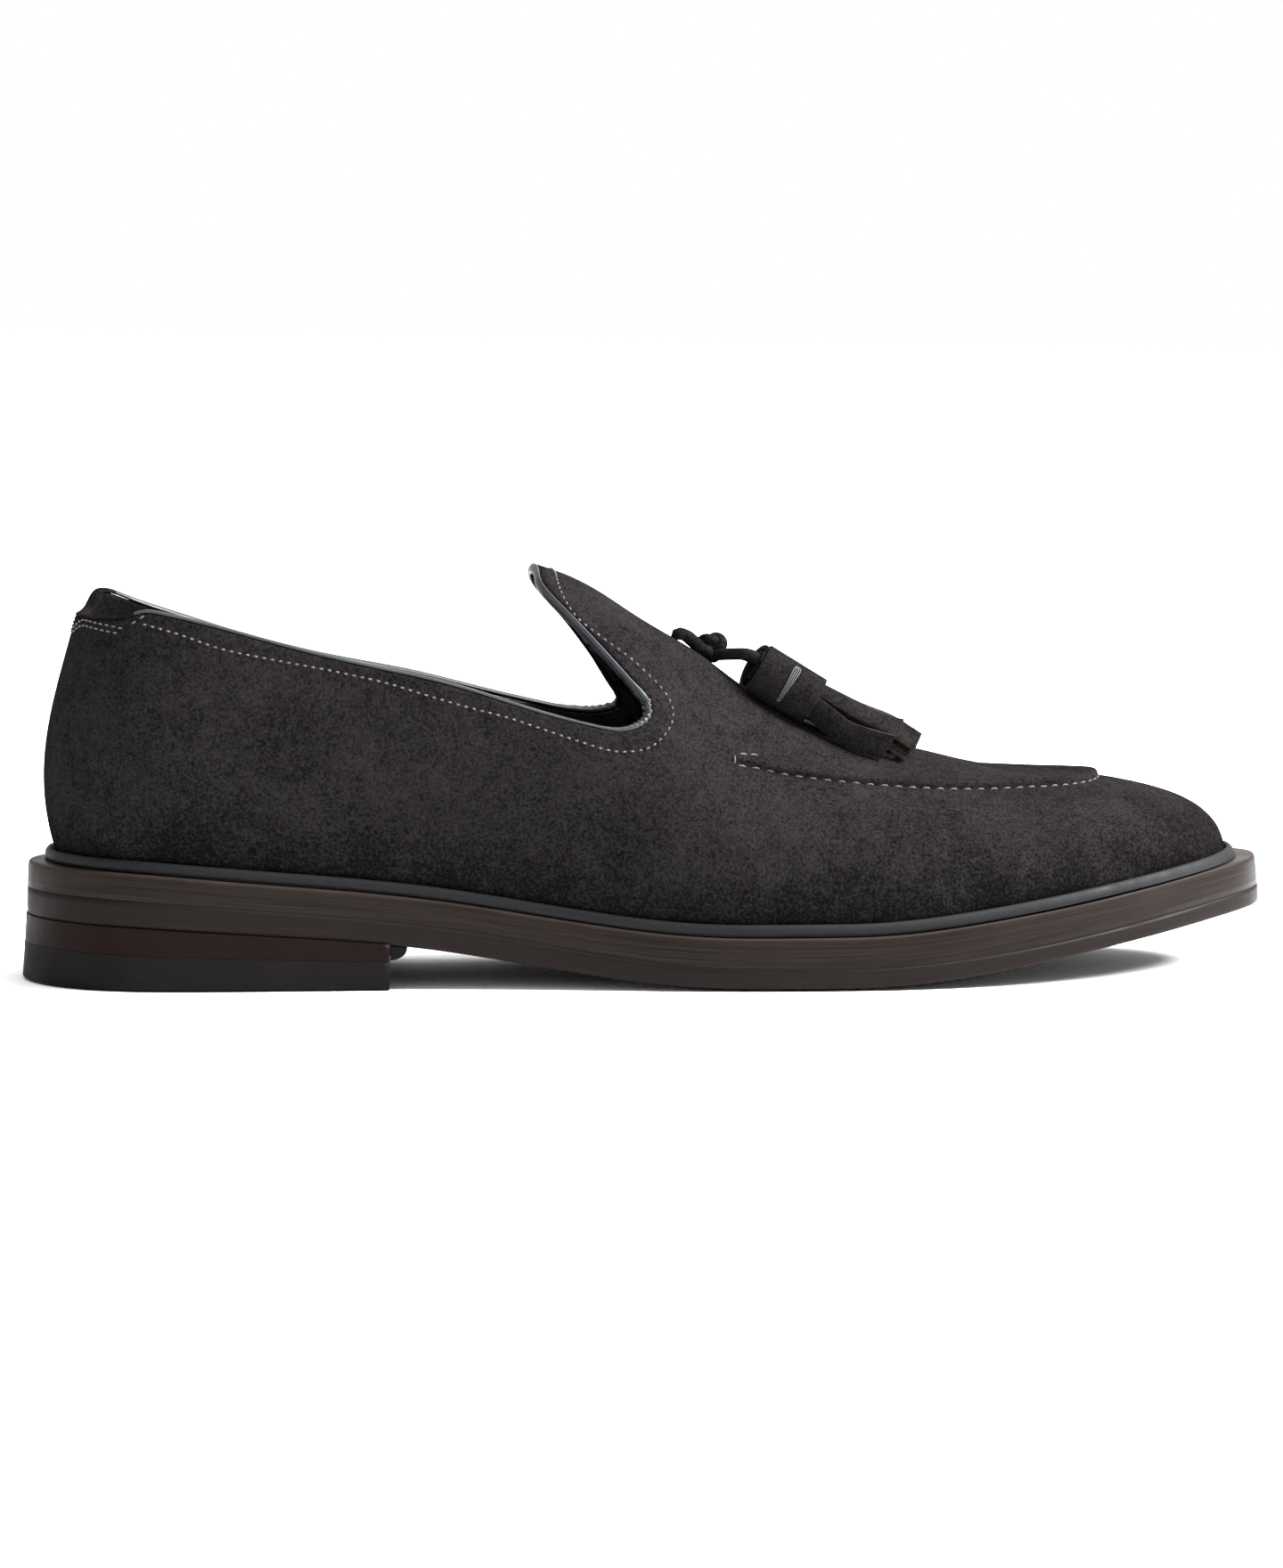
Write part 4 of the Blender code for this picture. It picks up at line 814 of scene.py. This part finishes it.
def thickened(piece, thickness, offset, bevel, materials):
    """Gives a skin its thickness, with cut edges of their own finish, and softens the corners."""
    picked(piece)
    for finish in materials:
        piece.data.materials.append(finish)
    wall = piece.modifiers.new("wall", "SOLIDIFY")
    wall.thickness = thickness
    wall.offset = offset
    wall.material_offset_rim = 1
    corners = piece.modifiers.new("corners", "BEVEL")
    corners.width = bevel
    corners.segments = 2
    corners.limit_method = "ANGLE"
    corners.angle_limit = math.radians(50)
    bpy.ops.object.modifier_apply(modifier="wall")
    bpy.ops.object.modifier_apply(modifier="corners")
    bpy.ops.object.mode_set(mode="EDIT")
    bpy.ops.mesh.select_all(action="SELECT")
    bpy.ops.mesh.normals_make_consistent(inside=False)
    bpy.ops.object.mode_set(mode="OBJECT")
    bpy.ops.object.shade_smooth_by_angle(angle=math.radians(50))
    piece.select_set(False)
    return piece


def joined(pieces, name):
    """Several pieces as one object."""
    bpy.ops.object.select_all(action="DESELECT")
    for piece in pieces:
        piece.select_set(True)
    bpy.context.view_layer.objects.active = pieces[0]
    bpy.ops.object.join()
    pieces[0].name = name
    pieces[0].data.name = name
    pieces[0].select_set(False)
    return pieces[0]


def band_of(name, start, axes, side):
    """The band: one and a bit turns, its end lying on its start."""
    forward, outward, above = axes
    rings = []
    for turn in np.linspace(BAND_START, BAND_START + 2 * math.pi * BAND_TURNS, 61):
        radius = HEAD_RADIUS - BAND_THICKNESS + BAND_LAP * (turn - BAND_START) / (2 * math.pi)
        across = above * math.cos(turn) + outward * math.sin(turn)
        rings.append([start + forward * x + across * (radius - BAND_TAPER * (x / HEAD_LENGTH))
                      for x in np.linspace(BAND_SETBACK, HEAD_LENGTH, 7)])
    band = lofted(name + "_band", rings, False)
    return thickened(band, BAND_THICKNESS, -side, CUT_BEVEL, (tassel_suede, cut_suede))


def roll_of(name, start, axes):
    """The roll inside the band: its end shows its turns."""
    forward, outward, above = axes
    whole = 2 * math.pi * ROLL_TURNS
    rings = []
    for turn in np.linspace(0, whole, 90):
        radius = ROLL_CORE + (HEAD_RADIUS - BAND_THICKNESS * 2) * turn / whole
        across = above * math.cos(turn) + outward * math.sin(turn)
        rings.append([start + forward * x + across * radius
                      for x in (ROLL_SETBACK, ROLL_MIDDLE, HEAD_LENGTH - ROLL_SHORT)])
    roll = lofted(name + "_roll", rings, False)
    return thickened(roll, ROLL_THICKNESS, 0.0, CUT_BEVEL, (tassel_suede, tassel_suede))


def strip_of(name, start, axes, number):
    """One strip of the fringe: curled like the roll at its root, flat and bent down at its tip."""
    forward, outward, above = axes
    turn, tip_turn, depth, beside, over, length = STRIPS[number]
    root_radius = HEAD_RADIUS * depth
    width = min(STRIP_WIDTH, math.pi * root_radius / 2.1)
    first = above * math.cos(math.radians(turn)) + outward * math.sin(math.radians(turn))
    rows = []
    for t in np.linspace(0, 1, 15):
        ease = t * t * (3 - 2 * t)
        angle = math.radians(turn + (tip_turn - turn) * ease)
        normal = above * math.cos(angle) + outward * math.sin(angle)
        wide = outward * math.cos(angle) - above * math.sin(angle)
        centre = start + forward * (HEAD_LENGTH - STRIP_ROOT + (STRIP_ROOT + STRIP_LENGTH * length) * t)
        centre = centre + first * root_radius * (1 - ease)
        centre = centre + (outward * beside + above * over) * STRIP_LENGTH * ease
        centre = centre + normal * STRIP_WAVE * math.sin(t * 9 + number * 2.1) * ease
        curl = root_radius / max(1 - ease, 0.12)
        bend = np.linspace(-0.5, 0.5, 7) * (width + (STRIP_WIDTH - width) * ease) / curl
        arc = normal * (np.cos(bend) - 1)[:, None] * curl + wide * np.sin(bend)[:, None] * curl
        lie = normal * np.cos(bend)[:, None] + wide * np.sin(bend)[:, None]
        low = cleared(centre + arc - lie * STRIP_THICKNESS / 2)
        rows.append(low + lie * STRIP_THICKNESS / 2)
    strip = lofted(f"{name}_strip_{number}", rows, False)
    return thickened(strip, STRIP_THICKNESS, 0.0, STRIP_BEVEL, (tassel_suede, cut_suede))


def strand_of(name, start, axes, number):
    """One turn of the thread, sewn through the band and slanting over its upper side."""
    forward, outward, above = axes
    path = []
    for turn in np.linspace(SEWN_FROM, SEWN_TO, 14):
        part = (turn - SEWN_FROM) / (SEWN_TO - SEWN_FROM)
        spread = min(1.0, part / 0.12) * (1 - 0.75 * part)
        beside = (number - (SEWN_STRANDS - 1) / 2) * STRAND_SPACING * spread
        lap = BAND_LAP * (turn - BAND_START) / (2 * math.pi)
        lift = HEAD_RADIUS + STRAND_RISE + lap - STRAND_SINK * abs(2 * part - 1) ** 12
        path.append(start + forward * (SEWN_PLACE - SEWN_SLANT * part + beside)
                    + (above * math.cos(turn) + outward * math.sin(turn)) * lift)
    path = smooth_path(path, 0.0006)
    rings = []
    for place, spot in enumerate(path):
        run = unit(path[min(place + 1, len(path) - 1)] - path[max(place - 1, 0)])
        one = unit(np.cross(run, forward))
        two = np.cross(run, one)
        rings.append([spot + (one * math.cos(a) + two * math.sin(a)) * STRAND_RADIUS
                      for a in np.linspace(0, 2 * math.pi, 6, endpoint=False)])
    return lofted(f"{name}_strand_{number}", rings, True)


# The upper's suede in narrow strips: matt and finely mottled
tassel_suede = suede_finish("tassel_suede", TASSEL_LIGHT, TASSEL_DARK, TASSEL_PATCH_WIDTH)
# The cut through the suede: a thin brown line of raw leather
cut_suede = suede_finish("cut_suede_edge", CUT_LIGHT, CUT_DARK, CUT_PATCH_WIDTH)
# Blue-grey thread: a pale slash on the dark band
tassel_thread = thread_finish("tassel_thread", TASSEL_THREAD)
tassel_starts = []
for tassel_name, rolled_x, rolled_y, tips_x, tips_y in TASSELS:
    start = above_vamp(along_sole(rolled_x), rolled_y * HALF_BALL, HEAD_RADIUS)
    tips = above_vamp(along_sole(tips_x), tips_y * HALF_BALL, TIPS_LIFT)
    side = 1 if rolled_y < 0 else -1
    forward = unit(tips - start)
    outward = unit(np.cross(forward, [0, 0, 1.0])) * side
    above = np.cross(outward, forward) * side
    axes = (forward, outward, above)
    tassel_starts.append((start, forward, above))
    pieces = [band_of(tassel_name, start, axes, side), roll_of(tassel_name, start, axes)]
    for number in range(len(STRIPS)):
        pieces.append(strip_of(tassel_name, start, axes, number))
    tassel = joined(pieces, tassel_name + "_suede")
    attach(tassel, "root")
    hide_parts(tassel_name)
    strands = [strand_of(tassel_name, start, axes, number) for number in range(SEWN_STRANDS)]
    binding_thread = joined(strands, tassel_name + "_thread")
    binding_thread.data.materials.append(tassel_thread)
    binding_thread.data.shade_smooth()
    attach(binding_thread, "root")

# Thong
# A narrow suede lace that comes out of a slit in the vamp, doubles back through its own knot and
# runs on in two ends, each rolled into the head of a tassel.
LACE_RADIUS = 0.0018
LACE_STEP = 0.0006
# How wide and how flat the lace is, as shares of a round one
LACE_WIDE = 1.06
LACE_FLAT = 0.86
KNOT_RADIUS = 0.0037
# How far the lace stands up out of its slit before it turns, and how far it leans to the knot
SLIT_RISE = 0.0013
SLIT_LEAN = 0.0002
HOLE_X = along_sole(0.5195)
KNOT_X = along_sole(0.5470)


def lace(name, points, radius, closed=False):
    """A round-edged suede lace along a smooth line."""
    stops = smooth_path(points, LACE_STEP)
    if closed:
        stops = stops[:-1]
    count = len(stops)
    rings = []
    side = np.array([0, 1.0, 0])
    for number in range(count):
        before = stops[number - 1] if closed or number else stops[0]
        after = stops[(number + 1) % count] if closed or number < count - 1 else stops[-1]
        run = unit(after - before)
        side = unit(side - run * side.dot(run))
        other = np.cross(run, side)
        wide = side * LACE_WIDE
        flat = other * LACE_FLAT
        rings.append([stops[number] + (wide * math.cos(a) + flat * math.sin(a)) * radius
                      for a in np.linspace(0, 2 * math.pi, 14, endpoint=False)])
    if closed:
        rings.append(rings[0])
    piece = lofted(name, rings, True)
    net = bmesh.new()
    net.from_mesh(piece.data)
    bmesh.ops.remove_doubles(net, verts=net.verts, dist=0.000001)
    bmesh.ops.holes_fill(net, edges=net.edges, sides=0)
    bmesh.ops.recalc_face_normals(net, faces=net.faces)
    net.to_mesh(piece.data)
    net.free()
    piece.data.materials.append(tassel_suede)
    piece.data.shade_smooth()
    return piece


knot = above_vamp(KNOT_X, 0, KNOT_RADIUS * 0.85)
hole = above_vamp(HOLE_X, 0, 0)
crest = above_vamp(HOLE_X + LACE_RADIUS * 1.2, 0, LACE_RADIUS * 0.95)
dip = above_vamp((HOLE_X + KNOT_X) / 2 + LACE_RADIUS * 0.6, 0, LACE_RADIUS * 0.65)
low = knot - np.array([0, 0, 0.6]) * KNOT_RADIUS
out_of_hole = hole + np.array([SLIT_LEAN, 0, SLIT_RISE])
laces = []
for number, side in enumerate((-1, 1)):
    beside = np.array([0, side * LACE_RADIUS * 0.8, 0])
    route = [hole + beside, out_of_hole + beside, crest + beside, dip + beside, low + beside * 0.4]
    laces.append(lace(f"lace_loop_{number}", route, LACE_RADIUS))
# The knot is a trefoil, drawn tight round the two strands
tilt = unit(knot - dip)
sideways = np.array([0, 1.0, 0])
upwards = np.cross(tilt, sideways)
wraps = []
for t in np.linspace(0, 2 * math.pi, 25):
    a = math.sin(t) + 2 * math.sin(2 * t)
    b = math.cos(t) - 2 * math.cos(2 * t)
    c = -math.sin(3 * t)
    wraps.append(knot + (tilt * a * 0.8 + sideways * c * 1.3 + upwards * b * 0.8) * KNOT_RADIUS * 0.30)
laces.append(lace("lace_knot", wraps, LACE_RADIUS * 0.85, True))
for number, (start, forward, above) in enumerate(tassel_starts):
    end = start + forward * 0.001 + above * HEAD_RADIUS * 0.25
    before = end - forward * LACE_RADIUS * 2
    middle = (low + before) / 2 + np.array([0, 0, 0.0002])
    laces.append(lace(f"lace_end_{number}", [low, middle, before, end], LACE_RADIUS * 0.95))
thong = joined(laces, "thong_lace")
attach(thong, "root")
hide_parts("thong")

# Floor and light
# A plain white floor under an even white sky. One strong soft lamp stands high in front of the toe,
# and weak ones above, behind the heel and on the far side only lift the edges.
FLOOR_SIZE = 16
FLOOR_DEPTH = 0.0002
PAPER = "#fdfdfd"
SKY = "#ffffff"
AIM = Vector((0.11, 0, 0.04))
# Each lamp: its place, its width and its power
LAMPS = (
    ("key", (1.45, -0.30, 1.30), 0.9, 200), ("top", (0.45, -0.1, 1.6), 1.2, 16),
    ("behind", (-1.4, -0.35, 0.35), 0.4, 3), ("far", (0.5, 1.5, 0.9), 1.2, 6),
)

bpy.ops.mesh.primitive_plane_add(size=FLOOR_SIZE, location=(0, 0, -FLOOR_DEPTH))
floor = bpy.context.object
floor.name = "floor"
# Matt paper: it shows the shoe's soft shadow and no reflection
paper, _ = surface("matte_paper", PAPER, 0.9, Specular_IOR_Level=0.1)
floor.data.materials.append(paper)
world = bpy.data.worlds.new("studio")
bpy.context.scene.world = world
world.use_nodes = True
world.node_tree.nodes["Background"].inputs["Color"].default_value = linear(SKY)
world.node_tree.nodes["Background"].inputs["Strength"].default_value = 1.0
bpy.context.scene.view_settings.view_transform = "Standard"
for lamp_name, spot, size, power in LAMPS:
    bpy.ops.object.light_add(type="AREA", location=spot)
    lamp = bpy.context.object
    lamp.name = lamp_name
    lamp.data.size = size
    lamp.data.energy = power
    lamp.rotation_euler = (AIM - Vector(spot)).to_track_quat("-Z", "Y").to_euler()
